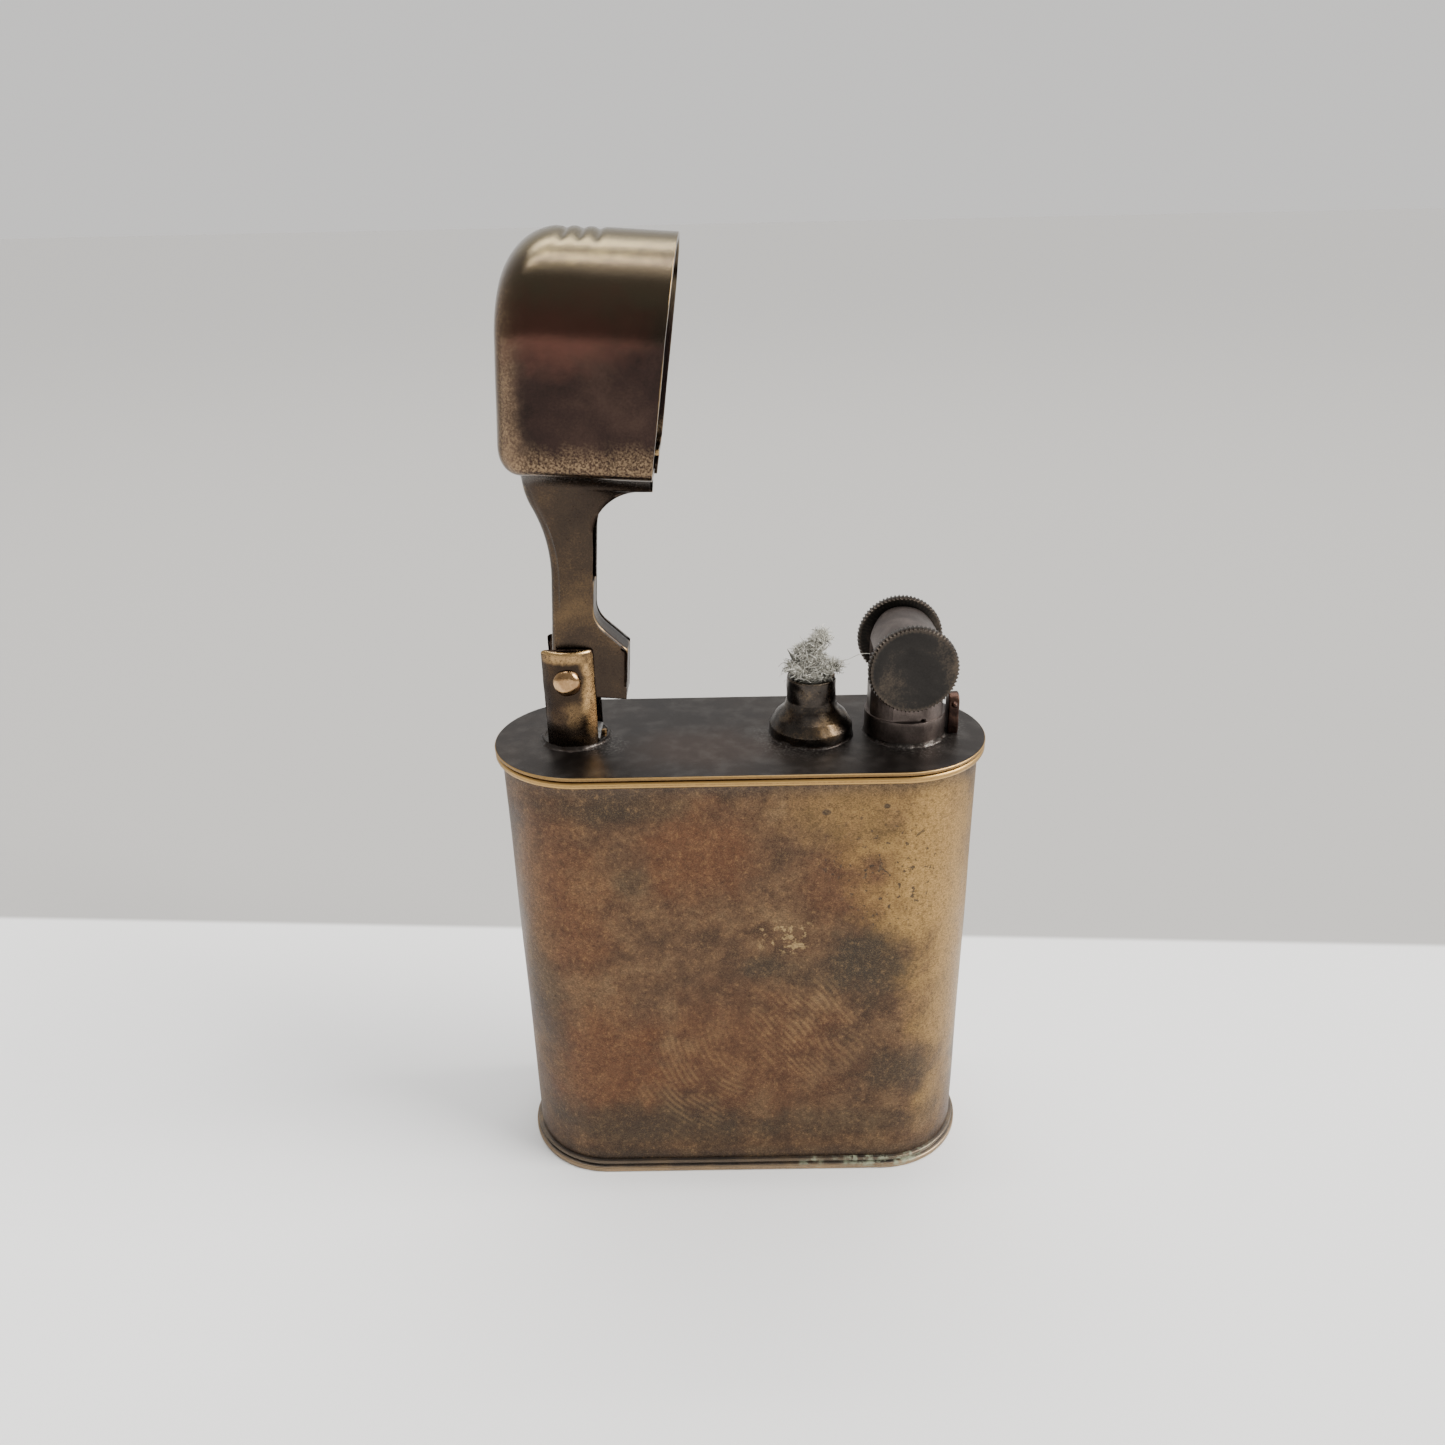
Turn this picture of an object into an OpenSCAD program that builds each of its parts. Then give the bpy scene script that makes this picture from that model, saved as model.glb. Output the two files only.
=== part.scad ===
// Lift-arm petrol lighter, shown open.
//
// A flat oval brass tank carries three things on its top plate: a slotted hinge
// post, a wick holder and a striker wheel in its housing. A pressed arm swings
// on the hinge pin, and its cap closes over the wick and the wheel.
// The origin is the centre of the base plate's underside, +X towards the wheel,
// -Y towards the front and +Z up.

/* [Tank] */
// Length of the top and base plates
plate_l = 40; // [39.8:0.1:41]
// Depth of the top and base plates, the diameter of their round ends
plate_d = 15.3; // [15.2:0.1:16]
// Height of the top plate's upper surface above the table
tank_h = 40.2; // [38:0.1:48]
// How far the plates stand out past the shell
rim_overhang = 0.55; // [0.4:0.05:0.7]
// Thickness of the shell
shell_wall = 0.5; // [0.4:0.05:0.7]
// Height of the top plate's edge, bead included
top_edge_h = 1; // [0.9:0.05:1.3]
// Height of the base plate's edge, groove included
base_edge_h = 1.05; // [0.95:0.05:1.3]

/* [Hinge] */
// Distance of the hinge pin from the tank's middle
hinge_x = 13.35; // [13:0.05:13.5]
// Height of the hinge pin above the top plate
hinge_z = 5.85; // [5.75:0.05:6]
// Radius of the hinge post
post_r = 2.7; // [2.6:0.05:2.9]
// Height of the hinge post
post_h = 8.3; // [8:0.1:8.8]
// Width of the slot in the hinge post
slot_w = 3.6; // [3.5:0.05:3.7]
// Radius of the hinge pin
pin_r = 0.75; // [0.6:0.05:0.8]

/* [Arm and cap] */
// Lean of the open arm from the vertical, in degrees
open_lean = 4; // [2:0.1:8]
// Tilt of the cap's mouth to the arm, in degrees
mouth_tilt = 4; // [3.5:0.1:4.5]
// Thickness of the arm at its waist
arm_w = 3.2; // [3:0.05:3.3]
// Thickness of the arm's sheet
arm_wall = 0.5; // [0.4:0.05:0.6]
// Distance from the hinge pin to the tip of the cap
cap_reach = 32.6; // [32.4:0.1:32.8]
// Width of the cap
cap_w = 13.8; // [13.7:0.1:14]
// Distance of the cap's mouth below the hinge pin, when the arm is level
mouth_drop = 5.2; // [5.1:0.05:5.4]
// Distance of the cap's back from the hinge pin, across the arm
cap_rise = 4.4; // [4.2:0.05:4.6]
// Thickness of the cap's sheet
cap_wall = 0.45; // [0.35:0.05:0.45]

/* [Wick] */
// Distance of the wick holder from the tank's middle
wick_x = 5.83; // [5.6:0.05:5.9]
// Radius of the wick
wick_r = 1.5; // [1.2:0.05:1.55]
// Height of the wick holder
holder_h = 5; // [4.5:0.1:5.4]

/* [Striker] */
// Distance of the wheel axle from the tank's middle
wheel_x = 13.35; // [13.3:0.05:13.45]
// Height of the wheel axle above the top plate
wheel_z = 6.85; // [6.7:0.05:7]
// Radius of the two thumb discs
disc_r = 3.5; // [3.4:0.05:3.6]
// Thickness of a thumb disc
disc_w = 0.85; // [0.7:0.05:0.9]
// Teeth on the rim of a thumb disc
disc_teeth = 66; // [48:2:80]
// Radius of the file wheel
file_r = 2.2; // [2.1:0.05:2.25]
// Teeth on the file wheel
file_teeth = 26; // [20:1:32]
// Radius of the flint
flint_r = 1.25; // [1.1:0.05:1.25]

/* [Hidden] */
$fn = 64;
fit = 0.02;                 // gap between soldered or pressed pieces
running = 0.05;             // radial clearance of a turning fit

// Tank
end_r = plate_d / 2;
run = plate_l / 2 - end_r;  // centres of the round ends
shell_r = end_r - rim_overhang;
bore_r = shell_r - shell_wall;
skin = 0.7;                 // sheet of the top plate
spigot_h = 0.6;             // step of a plate inside the shell

// Filler, under the arm's end of the tank
filler_x = -6.5;
filler_head_r = 4.35;
filler_thread_r = 3.4;
base_floor = base_edge_h + 0.45;
gasket_h = 0.35;
boss_r = 5.4;
boss_h = 6;

// Flint tube and what it holds
tube_r = 2.15;
tube_bore = flint_r + 0.1;
seat_z = 0.75;              // where the flint tube stands in the base plate
flint_head_r = 2.85;
flint_screw_top = 7;
flint_top = tank_h + wheel_z - file_r - 0.02;
flint_l = 5;
follower_l = 2.4;

// Hinge
pin_z = tank_h + hinge_z;
slot_floor = 0.3;

// Arm outline, in the arm's own frame: x across the arm towards the mouth, y along it
back_x = -1.38;
waist_x = 1.85;
heel_x = 4.55;
heel_low = -1.6;
heel_high = 2.35;
back_bend_r = 14;
back_bend_y = 7.6;
flare_angle = 25;
settle_r = 5.34;            // brings the flare back in line under the cap
throat_r = 3.9;
throat_y = 11.45;
instep_r = 2.2;
instep_y = 5.6;
flank_r = 14.4;
flank_y = 9;
arm_end = 16.7;
heel_top = 7.6;             // top of the solid heel inside the channel

// Cap outline, in the same frame
tip_r = cap_w / 2;
tip_y = cap_reach - tip_r;
crown_r = 4;
back_r = 1.7;               // low round of the back
corner_r = 1.6;             // rounds of the plan at the arm
edge_r = 2;
groove_r = 0.4;
groove_depth = 0.18;
groove_pitch = 1.14;
groove_x = -0.15;
window_w = 6.6;             // way from the cap into the arm

// Striker housing
housing_x = 13.45;
collar_r = 3.25;
collar_h = 2.05;
cheek_y = 2.85;
hood_r = 2.85;
chamber_r = file_r + 0.25;
chamber_w = 2.7;
axle_r = 0.6;
disc_gap = 0.4;
axle_z = tank_h + wheel_z;

// Points of an arc about (cx, cy), from angle a to angle b
function arc(cx, cy, r, a, b, n = 8) =
    [for (i = [0:n]) [cx + r * cos(a + (b - a) * i / n), cy + r * sin(a + (b - a) * i / n)]];

// Point of the slanted mouth at a height along the arm, or clear of it by past
function mouth_at(y, past = 0) = [mouth_drop / cos(mouth_tilt) + y * tan(mouth_tilt) + past, y];

// Points of a toothed rim
function teeth(r, depth, n) =
    [for (i = [0:2 * n - 1]) (r - (i % 2) * depth) * [cos(180 * i / n), sin(180 * i / n)]];

// Flat oval of end radius r
module oval(r) {
    square([2 * run, 2 * r], center = true);
    for (side = [-1, 1]) translate([side * run, 0]) circle(r);
}

// Solid oval disc whose edge follows a section of points (radius, height)
module oval_turned(section) {
    for (side = [0, 1])
        mirror([side, 0, 0]) translate([run, 0, 0]) rotate(-90)
            rotate_extrude(angle = 180) polygon(section);
    rotate([90, 0, 90]) linear_extrude(2 * run, center = true) {
        polygon(section);
        mirror([1, 0]) polygon(section);
    }
}

module at_hinge() translate([-hinge_x, 0, pin_z]) children();
module at_wick(z = 0) translate([wick_x, 0, tank_h + z]) children();
module at_axle() translate([wheel_x, 0, axle_z]) rotate([90, 0, 0]) children();
module at_filler(z = 0) translate([filler_x, 0, z]) children();
module at_flint(z = 0) translate([wheel_x, 0, z]) children();

// The arm's own frame, stood up at the open lean
module arm_frame() at_hinge() rotate([0, open_lean, 0]) children();

// A side outline (x across, y along the arm) given a width
module side_slab(width) rotate([90, 0, 0]) linear_extrude(width, center = true) children();

// A plan outline (x across the width, y along the arm), from low to high across the arm
module plan_slab(low, high) translate([low, 0, 0]) rotate([90, 0, 90]) linear_extrude(high - low) children();

// ---- Tank ----

module tank_shell() color("peru")
    translate([0, 0, base_edge_h]) linear_extrude(tank_h - top_edge_h - base_edge_h)
        difference() {
            oval(shell_r);
            oval(bore_r);
        }

// Pressed lid: thin lip, groove, rounded bead, and a step inside the shell
module top_plate() color("saddlebrown") difference() {
    translate([0, 0, tank_h]) oval_turned(concat(
        [[0, -skin], [0, 0], [end_r - 0.12, 0], [end_r, -0.1], [end_r, -0.24],
         [end_r - 0.22, -0.3], [end_r - 0.22, -0.4]],
        arc(end_r - 0.32, -0.7, 0.3, 80, -80, 6),
        [[shell_r - 0.1, -top_edge_h], [bore_r - fit, -top_edge_h],
         [bore_r - fit, -top_edge_h - spigot_h], [bore_r - 0.6, -top_edge_h - spigot_h],
         [bore_r - 0.6, -skin]]));
    at_wick(-3) cylinder(h = 4, r = 2.2 + fit);
    at_flint(tank_h - 3) cylinder(h = 4, r = tube_r + fit);
}

// Base: thin flange, groove, bead, and a thick floor with two counterbores
module base_plate() color("saddlebrown") difference() {
    oval_turned([
        [0, 0], [end_r - 0.15, 0], [end_r, 0.14], [end_r, 0.46], [end_r - 0.1, 0.55],
        [end_r - 0.34, 0.58], [end_r - 0.34, 0.7], [end_r - 0.24, 0.78], [end_r - 0.24, 0.95],
        [end_r - 0.34, base_edge_h], [bore_r - fit, base_edge_h], [bore_r - fit, base_floor],
        [0, base_floor]]);
    at_filler(-1) cylinder(h = 4, r = filler_head_r + running);
    at_flint(-1) cylinder(h = 1 + seat_z, r = flint_head_r + running);
    at_flint(-1) cylinder(h = 4, r = tube_r + fit);
}

module filler_boss() color("goldenrod") at_filler(base_floor) difference() {
    cylinder(h = boss_h, r = boss_r);
    translate([0, 0, -1]) cylinder(h = boss_h + 2, r = filler_thread_r + running);
}

// Coin-slotted filler screw, flush in the base
module filler_screw() color("goldenrod") at_filler(0.06) difference() {
    union() {
        cylinder(h = base_floor - gasket_h - 0.06, r = filler_head_r);
        cylinder(h = base_floor + boss_h - 1.5, r = filler_thread_r);
    }
    translate([0, 0, 0.3]) cube([2 * filler_head_r + 1, 1.1, 0.61], center = true);
}

module filler_gasket() color("sienna") at_filler(base_floor - gasket_h) difference() {
    cylinder(h = gasket_h - fit, r = filler_head_r - 0.1);
    translate([0, 0, -1]) cylinder(h = 3, r = filler_thread_r + fit);
}

module cotton_wadding() color("ivory") difference() {
    translate([0, 0, 9]) linear_extrude(28) oval(bore_r - 0.25);
    at_flint(0) cylinder(h = tank_h, r = tube_r + 0.15);
    at_wick(-25) cylinder(h = 25, r = wick_r + 0.05);
}

// ---- Hinge ----

// Round post with a slot for the arm's heel and softened cheek tops
module hinge_post() color("chocolate") at_hinge() difference() {
    translate([0, 0, -hinge_z]) rotate_extrude()
        polygon(concat([[0, 0], [post_r, 0]], arc(post_r - 0.3, post_h - 0.3, 0.3, 0, 90, 4), [[0, post_h]]));
    translate([0, 0, post_h / 2 + slot_floor - hinge_z])
        cube([4 * post_r, slot_w, post_h], center = true);
    rotate([90, 0, 0]) cylinder(h = 4 * post_r, r = pin_r + 0.01, center = true);
}

// Riveted pin with a domed head on each cheek
module hinge_pin() color("gold") at_hinge() rotate([90, 0, 0]) {
    cylinder(h = 2 * post_r, r = pin_r, center = true);
    for (side = [0, 1])
        mirror([0, 0, side]) translate([0, 0, post_r + 0.01])
            rotate_extrude() polygon(concat([[0, -0.02]], arc(0, -0.75, 1.315, 34.8, 90, 8)));
}

// Arched leaf under the heel, which snaps the arm open and shut
module snap_spring() color("silver") at_hinge() translate([0, 0, slot_floor - hinge_z])
    rotate([90, 0, 0]) linear_extrude(slot_w - 0.6, center = true)
        polygon(concat(arc(0, -5.65, 6.25, 70.5, 109.5, 10), arc(0, -5.65, 6, 109.5, 70.5, 10)));

module spring_rivet() color("gold") at_hinge() translate([2.3, 0, slot_floor - hinge_z])
    cylinder(h = 0.3, r = 0.2);

// ---- Arm and cap ----

// Everything right of the arm's back edge, set in by the sheet's thickness
module behind_back(inset) {
    bend = arc(back_x - back_bend_r, back_bend_y, back_bend_r + inset, 0, flare_angle);
    reach = back_bend_r + settle_r;
    settle = arc(back_x - back_bend_r + reach * cos(flare_angle), back_bend_y + reach * sin(flare_angle),
                 settle_r - inset, 180 + flare_angle, 180, 6);
    end = settle[len(settle) - 1];
    polygon(concat(
        [[20, heel_low - 1], [back_x + inset, heel_low - 1]], bend, settle,
        [[end[0], arm_end + 1], [20, arm_end + 1]]));
}

// Side outline of the arm: heel, waist and throat
module arm_side() intersection() {
    behind_back(0);
    polygon(concat(
        [[back_x - 10, heel_low], [heel_x, heel_low], [heel_x, heel_high]],
        arc(waist_x + instep_r, instep_y, instep_r, 232, 180, 6),
        arc(waist_x + throat_r, throat_y, throat_r, 180, 100),
        [mouth_at(throat_y + throat_r), mouth_at(arm_end), [back_x - 10, arm_end]]));
}

// Plan outline of the arm, set in by the sheet's thickness
module arm_plan(inset) {
    half = arm_w / 2 - inset;
    flank = arc(arm_w / 2 + flank_r, flank_y, flank_r + inset, 180, 146.7);
    polygon(concat(
        [[half, heel_low - 1]], flank,
        [for (i = [len(flank) - 1:-1:0]) [-flank[i][0], flank[i][1]]], [[-half, heel_low - 1]]));
}

module arm_bore() rotate([90, 0, 0]) cylinder(h = 20, r = pin_r + running, center = true);

// Pressed channel, open towards the mouth
module lift_arm() color("peru") arm_frame() difference() {
    intersection() {
        side_slab(20) arm_side();
        plan_slab(-20, 20) arm_plan(0);
    }
    intersection() {
        side_slab(20) behind_back(arm_wall);
        plan_slab(-20, 20) arm_plan(arm_wall);
    }
    arm_bore();
}

// Solid block brazed into the foot of the channel
module arm_heel() color("sienna") arm_frame() difference() {
    intersection() {
        side_slab(arm_w - 2 * arm_wall - 2 * fit) intersection() {
            arm_side();
            behind_back(arm_wall + fit);
        }
        translate([-20, -20, heel_low - 1]) cube([40, 40, heel_top + 1 - heel_low]);
    }
    arm_bore();
}

// Plan outline of the cap: straight sides, round tip, rounded corners at the arm
module cap_plan(inset) {
    half = tip_r - inset;
    corner = corner_r - inset;
    low = arm_end + inset;
    polygon(concat(
        arc(0, tip_y, half, 0, 180, 32),
        arc(corner - half, low + corner, corner, 180, 270, 6),
        arc(half - corner, low + corner, corner, 270, 360, 6)));
}

// Side outline of the cap: a large round at the tip and a small one at the arm
module cap_side(inset, past) {
    back = -cap_rise + inset;
    low = arm_end + inset;
    high = cap_reach - inset;
    crown = crown_r - inset;
    corner = back_r - inset;
    polygon(concat(
        [mouth_at(low, past), mouth_at(high, past)],
        arc(back + crown, high - crown, crown, 90, 180, 12),
        arc(back + corner, low + corner, corner, 180, 270, 6)));
}

// Section of the cap across the arm: rounded long edges
module cap_section(inset) {
    half = tip_r - inset;
    back = -cap_rise + inset;
    edge = edge_r - inset;
    polygon(concat(
        [[20, half], [20, -half]],
        arc(back + edge, edge - half, edge, 270, 180),
        arc(back + edge, half - edge, edge, 180, 90)));
}

module cap_form(inset, past) intersection() {
    side_slab(20) cap_side(inset, past);
    plan_slab(-cap_rise - 1, 19) cap_plan(inset);
    linear_extrude(cap_reach + 1) cap_section(inset);
}

// Cap with three grip grooves across its tip, open into the arm's channel
module snuffer_cap() color("peru") arm_frame() difference() {
    cap_form(0, 0);
    cap_form(cap_wall, 1);
    translate([-cap_rise + back_r + 0.1, -window_w / 2, arm_end - 1]) cube([20, window_w, 2]);
    for (i = [0:2])
        translate([groove_x + i * groove_pitch, 0, tip_y]) rotate([0, 90, 0]) rotate(140)
            rotate_extrude(angle = 80)
                translate([tip_r + groove_r - groove_depth, 0]) circle(groove_r, $fn = 24);
}

// ---- Wick ----

// Turned holder: round foot, rounded shoulder, slotted neck, and a sleeve through the top plate
module wick_holder() color("saddlebrown") at_wick() difference() {
    rotate_extrude() polygon(concat(
        [[wick_r + 0.05, -2], [2.2, -2], [2.2, 0], [3.2, 0], [3.35, 0.2], [3.35, 0.95]],
        arc(2.55, 1, 0.8, 10, 60, 5),
        arc(3.2, 3.35, 1.2, 245, 180, 6),
        [[2, holder_h - 0.1], [1.9, holder_h], [wick_r + 0.05, holder_h]]));
    translate([1, -0.4, 2.9]) cube([3, 0.8, holder_h]);
}

module wick() color("ivory") at_wick(-24) cylinder(h = 24 + holder_h, r = wick_r);

// Frayed end of the wick, as one plain solid
module wick_tuft() color("ivory") at_wick(holder_h) rotate_extrude() polygon([
    [0, 0], [1.5, 0], [2.3, 0.35], [2.4, 0.95], [1.9, 1.7], [1.45, 2.5], [1.1, 3.4], [0.5, 3.95], [0, 4.1]]);

// ---- Striker ----

// Round collar with a hooded box for the file wheel, open towards the wick
module wheel_housing() color("saddlebrown") difference() {
    union() {
        translate([housing_x, 0, tank_h]) cylinder(h = collar_h, r = collar_r);
        intersection() {
            translate([wheel_x - hood_r, -cheek_y, tank_h + 1])
                cube([2 * hood_r, 2 * cheek_y, wheel_z - 1]);
            translate([housing_x, 0, tank_h]) cylinder(h = wheel_z, r = collar_r - 0.1);
        }
        intersection() {
            at_axle() cylinder(h = 2 * cheek_y, r = hood_r, center = true);
            translate([housing_x, 0, tank_h]) cylinder(h = 20, r = collar_r - 0.1);
        }
    }
    at_axle() cylinder(h = chamber_w, r = chamber_r, center = true);
    at_axle() cylinder(h = 20, r = axle_r + running, center = true);
    translate([wheel_x - 6, -chamber_w / 2, tank_h + 4.2]) cube([6, chamber_w, 3.4]);
    at_flint(tank_h - 1) cylinder(h = wheel_z, r = flint_r + 0.08);
    at_flint(tank_h - 1) cylinder(h = 3.8, r = tube_r + fit);
}

module flint_tube() color("goldenrod") at_flint(seat_z) difference() {
    cylinder(h = tank_h + 2.8 - seat_z - fit, r = tube_r);
    translate([0, 0, -1]) cylinder(h = tank_h + 5, r = tube_bore);
}

// Small upright leaf beside the housing, rounded at the top
module retaining_leaf() color("brown") translate([17.3, 0, tank_h]) rotate([90, 0, 90])
    linear_extrude(0.85, center = true) {
        translate([-0.8, 0]) square([1.6, 2.6]);
        translate([0, 2.6]) circle(0.8);
    }

module leaf_rivet() color("sienna") translate([17.3, -0.8, tank_h + 2.6]) rotate([90, 0, 0])
    cylinder(h = 0.35, r = 0.25);

module file_wheel() color("dimgray") at_axle() difference() {
    linear_extrude(chamber_w - 0.4, center = true) polygon(teeth(file_r, 0.22, file_teeth));
    cylinder(h = 10, r = axle_r + fit, center = true);
}

// Knurled disc with a raised hub on its inner side
module thumb_disc() difference() {
    union() {
        translate([0, 0, disc_gap]) linear_extrude(disc_w) polygon(teeth(disc_r, 0.12, disc_teeth));
        translate([0, 0, 0.08]) cylinder(h = disc_gap, r = 1.3);
    }
    translate([0, 0, -1]) cylinder(h = 1 + disc_gap + disc_w / 2, r = axle_r + fit);
}

module thumb_disc_front() color("saddlebrown") at_axle() translate([0, 0, cheek_y]) thumb_disc();
module thumb_disc_rear() color("saddlebrown") at_axle() mirror([0, 0, 1])
    translate([0, 0, cheek_y]) thumb_disc();

module wheel_axle() color("silver") at_axle()
    cylinder(h = 2 * (cheek_y + disc_gap + disc_w / 2) - 0.04, r = axle_r, center = true);

module flint() color("dimgray") at_flint(flint_top - flint_l) cylinder(h = flint_l, r = flint_r);

module flint_follower() color("gold") at_flint(flint_top - flint_l - follower_l) {
    translate([0, 0, 1.2]) cylinder(h = follower_l - 1.2 - fit, r = flint_r - 0.05);
    cylinder(h = follower_l - 0.5, r = 0.6);
}

// Coil spring between the screw and the follower, as its outer tube
module flint_spring() color("silver") at_flint(flint_screw_top + fit) difference() {
    cylinder(h = flint_top - flint_l - follower_l + 1.2 - flint_screw_top - 2 * fit, r = flint_r - 0.08);
    translate([0, 0, -1]) cylinder(h = tank_h, r = 0.75);
}

// Slotted screw that closes the flint tube, flush in the base
module flint_screw() color("goldenrod") at_flint(0.06) difference() {
    union() {
        cylinder(h = seat_z - 0.08, r = flint_head_r);
        cylinder(h = flint_screw_top - 0.06, r = tube_bore - running);
    }
    translate([0, 0, 0.2]) cube([2 * flint_head_r + 1, 0.8, 0.41], center = true);
}

tank_shell();
top_plate();
base_plate();
hinge_post();
hinge_pin();
snap_spring();
spring_rivet();
lift_arm();
arm_heel();
snuffer_cap();
wick_holder();
wick();
wick_tuft();
cotton_wadding();
wheel_housing();
flint_tube();
retaining_leaf();
leaf_rivet();
file_wheel();
thumb_disc_front();
thumb_disc_rear();
wheel_axle();
flint();
flint_follower();
flint_spring();
flint_screw();
filler_boss();
filler_screw();
filler_gasket();
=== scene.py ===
import math
import random
from contextlib import contextmanager
import bmesh
import bpy
import numpy as np
from mathutils import Matrix, Vector, noise


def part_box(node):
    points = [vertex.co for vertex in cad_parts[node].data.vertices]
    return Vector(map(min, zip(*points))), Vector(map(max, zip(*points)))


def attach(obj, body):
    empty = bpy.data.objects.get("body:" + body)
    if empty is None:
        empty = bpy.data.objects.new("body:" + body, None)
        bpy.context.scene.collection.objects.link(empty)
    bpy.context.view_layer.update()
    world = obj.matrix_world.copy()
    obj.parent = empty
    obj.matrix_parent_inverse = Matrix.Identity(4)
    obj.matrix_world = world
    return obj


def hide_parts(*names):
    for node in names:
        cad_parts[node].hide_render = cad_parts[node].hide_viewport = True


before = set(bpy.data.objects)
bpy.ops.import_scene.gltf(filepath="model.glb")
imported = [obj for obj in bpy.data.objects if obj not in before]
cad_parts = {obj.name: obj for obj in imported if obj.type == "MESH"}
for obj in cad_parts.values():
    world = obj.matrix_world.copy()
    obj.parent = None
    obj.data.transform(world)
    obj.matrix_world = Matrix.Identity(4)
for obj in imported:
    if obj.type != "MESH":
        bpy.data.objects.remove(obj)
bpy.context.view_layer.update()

# ---- Sizes, in millimetres, taken from the CAD nodes ----

MM = 0.001
WELD = 0.002


def box(node):
    """Lowest and highest corner of a CAD node, in millimetres."""
    low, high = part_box(node)
    return low / MM, high / MM


def middle(node):
    low, high = box(node)
    return (low + high) / 2


plate_high = box("top_plate")[1]
top_z = plate_high.z
end_r = plate_high.y
run = plate_high.x - end_r
lid_edge = 1.0
lid_skin = 0.7
base_floor = box("base_plate")[1].z
shell_low, shell_high = box("tank_shell")
shell_r = shell_high.y
shell_wall = 0.5
pin = middle("hinge_pin")
pin_end = box("hinge_pin")[1].y
pin_r = 0.75
post_low, post_high = box("hinge_post")
post_r = post_high.y
slot_half = 1.8
holder_top = box("wick_holder")[1].z
wick_x = middle("wick_holder").x
wick_r = box("wick")[1].y
axle = middle("wheel_axle")
disc_low, disc_high = box("thumb_disc_rear")
disc_r = (disc_high.z - disc_low.z) / 2
housing_high = box("wheel_housing")[1]
collar_r = housing_high.y
housing_x = housing_high.x - collar_r
cheek_y = 2.85

# The arm's own frame: across towards the mouth, y, and along the arm from the pin
ARM_LEAN = math.radians(4)
MOUTH_TILT = math.radians(4)
MOUTH_DROP = 5.2
CAP_BACK = -4.4
CAP_TIP = 32.6
CAP_HALF = 6.9
ARM_END = 16.7
BEND_R, BEND_Y, FLARE = 14.0, 7.6, math.radians(25)
SETTLE_R = 5.34
THROAT_R, THROAT_Y = 3.9, 11.45
INSTEP_R, INSTEP_Y, INSTEP_END = 2.2, 5.6, math.radians(232)
FLANK_R, FLANK_Y = 14.4, 9.0
ARM_SHEET = 0.5
CAP_SHEET = 0.45
CAP_EDGE, CAP_CROWN, CAP_FOOT, CAP_CORNER = 2.0, 4.0, 1.7, 1.2
TIP_Y = CAP_TIP - CAP_HALF
HEEL_TOP = 7.6
BACK_X = -1.38
WAIST_X = 1.85
ARM_HALF = 1.6
HEEL_LOW = -1.6
HEEL_HIGH = 2.35
HEEL_X = 4.55


def arm_point(across, y, along):
    c, s = math.cos(ARM_LEAN), math.sin(ARM_LEAN)
    return (pin.x + across * c + along * s, y, pin.z + along * c - across * s)


def mouth_at(along):
    return MOUTH_DROP / math.cos(MOUTH_TILT) + along * math.tan(MOUTH_TILT)


# ---- Mesh helpers ----


@contextmanager
def edit_mesh(mesh):
    """Opens a mesh as a bmesh and writes it back."""
    work = bmesh.new()
    work.from_mesh(mesh)
    yield work
    work.to_mesh(mesh)
    work.free()


def add_object(name, data):
    obj = bpy.data.objects.new(name, data)
    bpy.context.scene.collection.objects.link(obj)
    return obj


def smooth(x, low, high):
    """0 below low, 1 above high, and a smooth rise between."""
    t = min(max((x - low) / (high - low), 0.0), 1.0)
    return t * t * (3 - 2 * t)


def quarter(count):
    """Angles from 0 towards a right angle, whose last point lies on the axis and is left out."""
    return np.linspace(0, math.pi / 2, count)[:-1]


def fillet(corners, steps=5):
    """Points of a closed outline whose corners (x, y, radius) are rounded."""
    points = []
    count = len(corners)
    for i, (x, y, r) in enumerate(corners):
        here = Vector((x, y))
        if r <= 0:
            points.append((x, y))
            continue
        before = (Vector(corners[i - 1][:2]) - here).normalized()
        after = (Vector(corners[(i + 1) % count][:2]) - here).normalized()
        half = before.angle(after) / 2
        reach = r / math.tan(half)
        centre = here + (before + after).normalized() * r / math.sin(half)
        a, b = here + before * reach - centre, here + after * reach - centre
        for k in range(steps + 1):
            point = centre + a.normalized().slerp(b.normalized(), k / steps) * r
            points.append((point.x, point.y))
    return points


def finish_mesh(name, verts, faces, sharp=35, weld=True):
    """Object from points in millimetres, welded, closed normals out, smooth but for sharp edges."""
    mesh = bpy.data.meshes.new(name)
    mesh.from_pydata([Vector(v) * MM for v in verts], [], faces)
    with edit_mesh(mesh) as work:
        if weld:
            bmesh.ops.remove_doubles(work, verts=work.verts, dist=WELD * MM)
            bmesh.ops.dissolve_degenerate(work, edges=work.edges, dist=WELD / 2 * MM)
        bmesh.ops.recalc_face_normals(work, faces=work.faces)
    obj = add_object(name, mesh)
    shade(obj, sharp)
    return obj


def shade(obj, sharp=35):
    obj.data.shade_smooth()
    obj.data.set_sharp_from_angle(angle=math.radians(sharp))


def apply_modifiers(obj):
    """The object's mesh becomes what its modifiers made."""
    depsgraph = bpy.context.evaluated_depsgraph_get()
    made = bpy.data.meshes.new_from_object(obj.evaluated_get(depsgraph))
    obj.modifiers.clear()
    obj.data = made


def cut(obj, other):
    """Takes another solid out of this one."""
    modifier = obj.modifiers.new("cut", "BOOLEAN")
    modifier.object = other
    modifier.operation = "DIFFERENCE"
    modifier.solver = "EXACT"
    apply_modifiers(obj)
    bpy.data.objects.remove(other)


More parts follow.
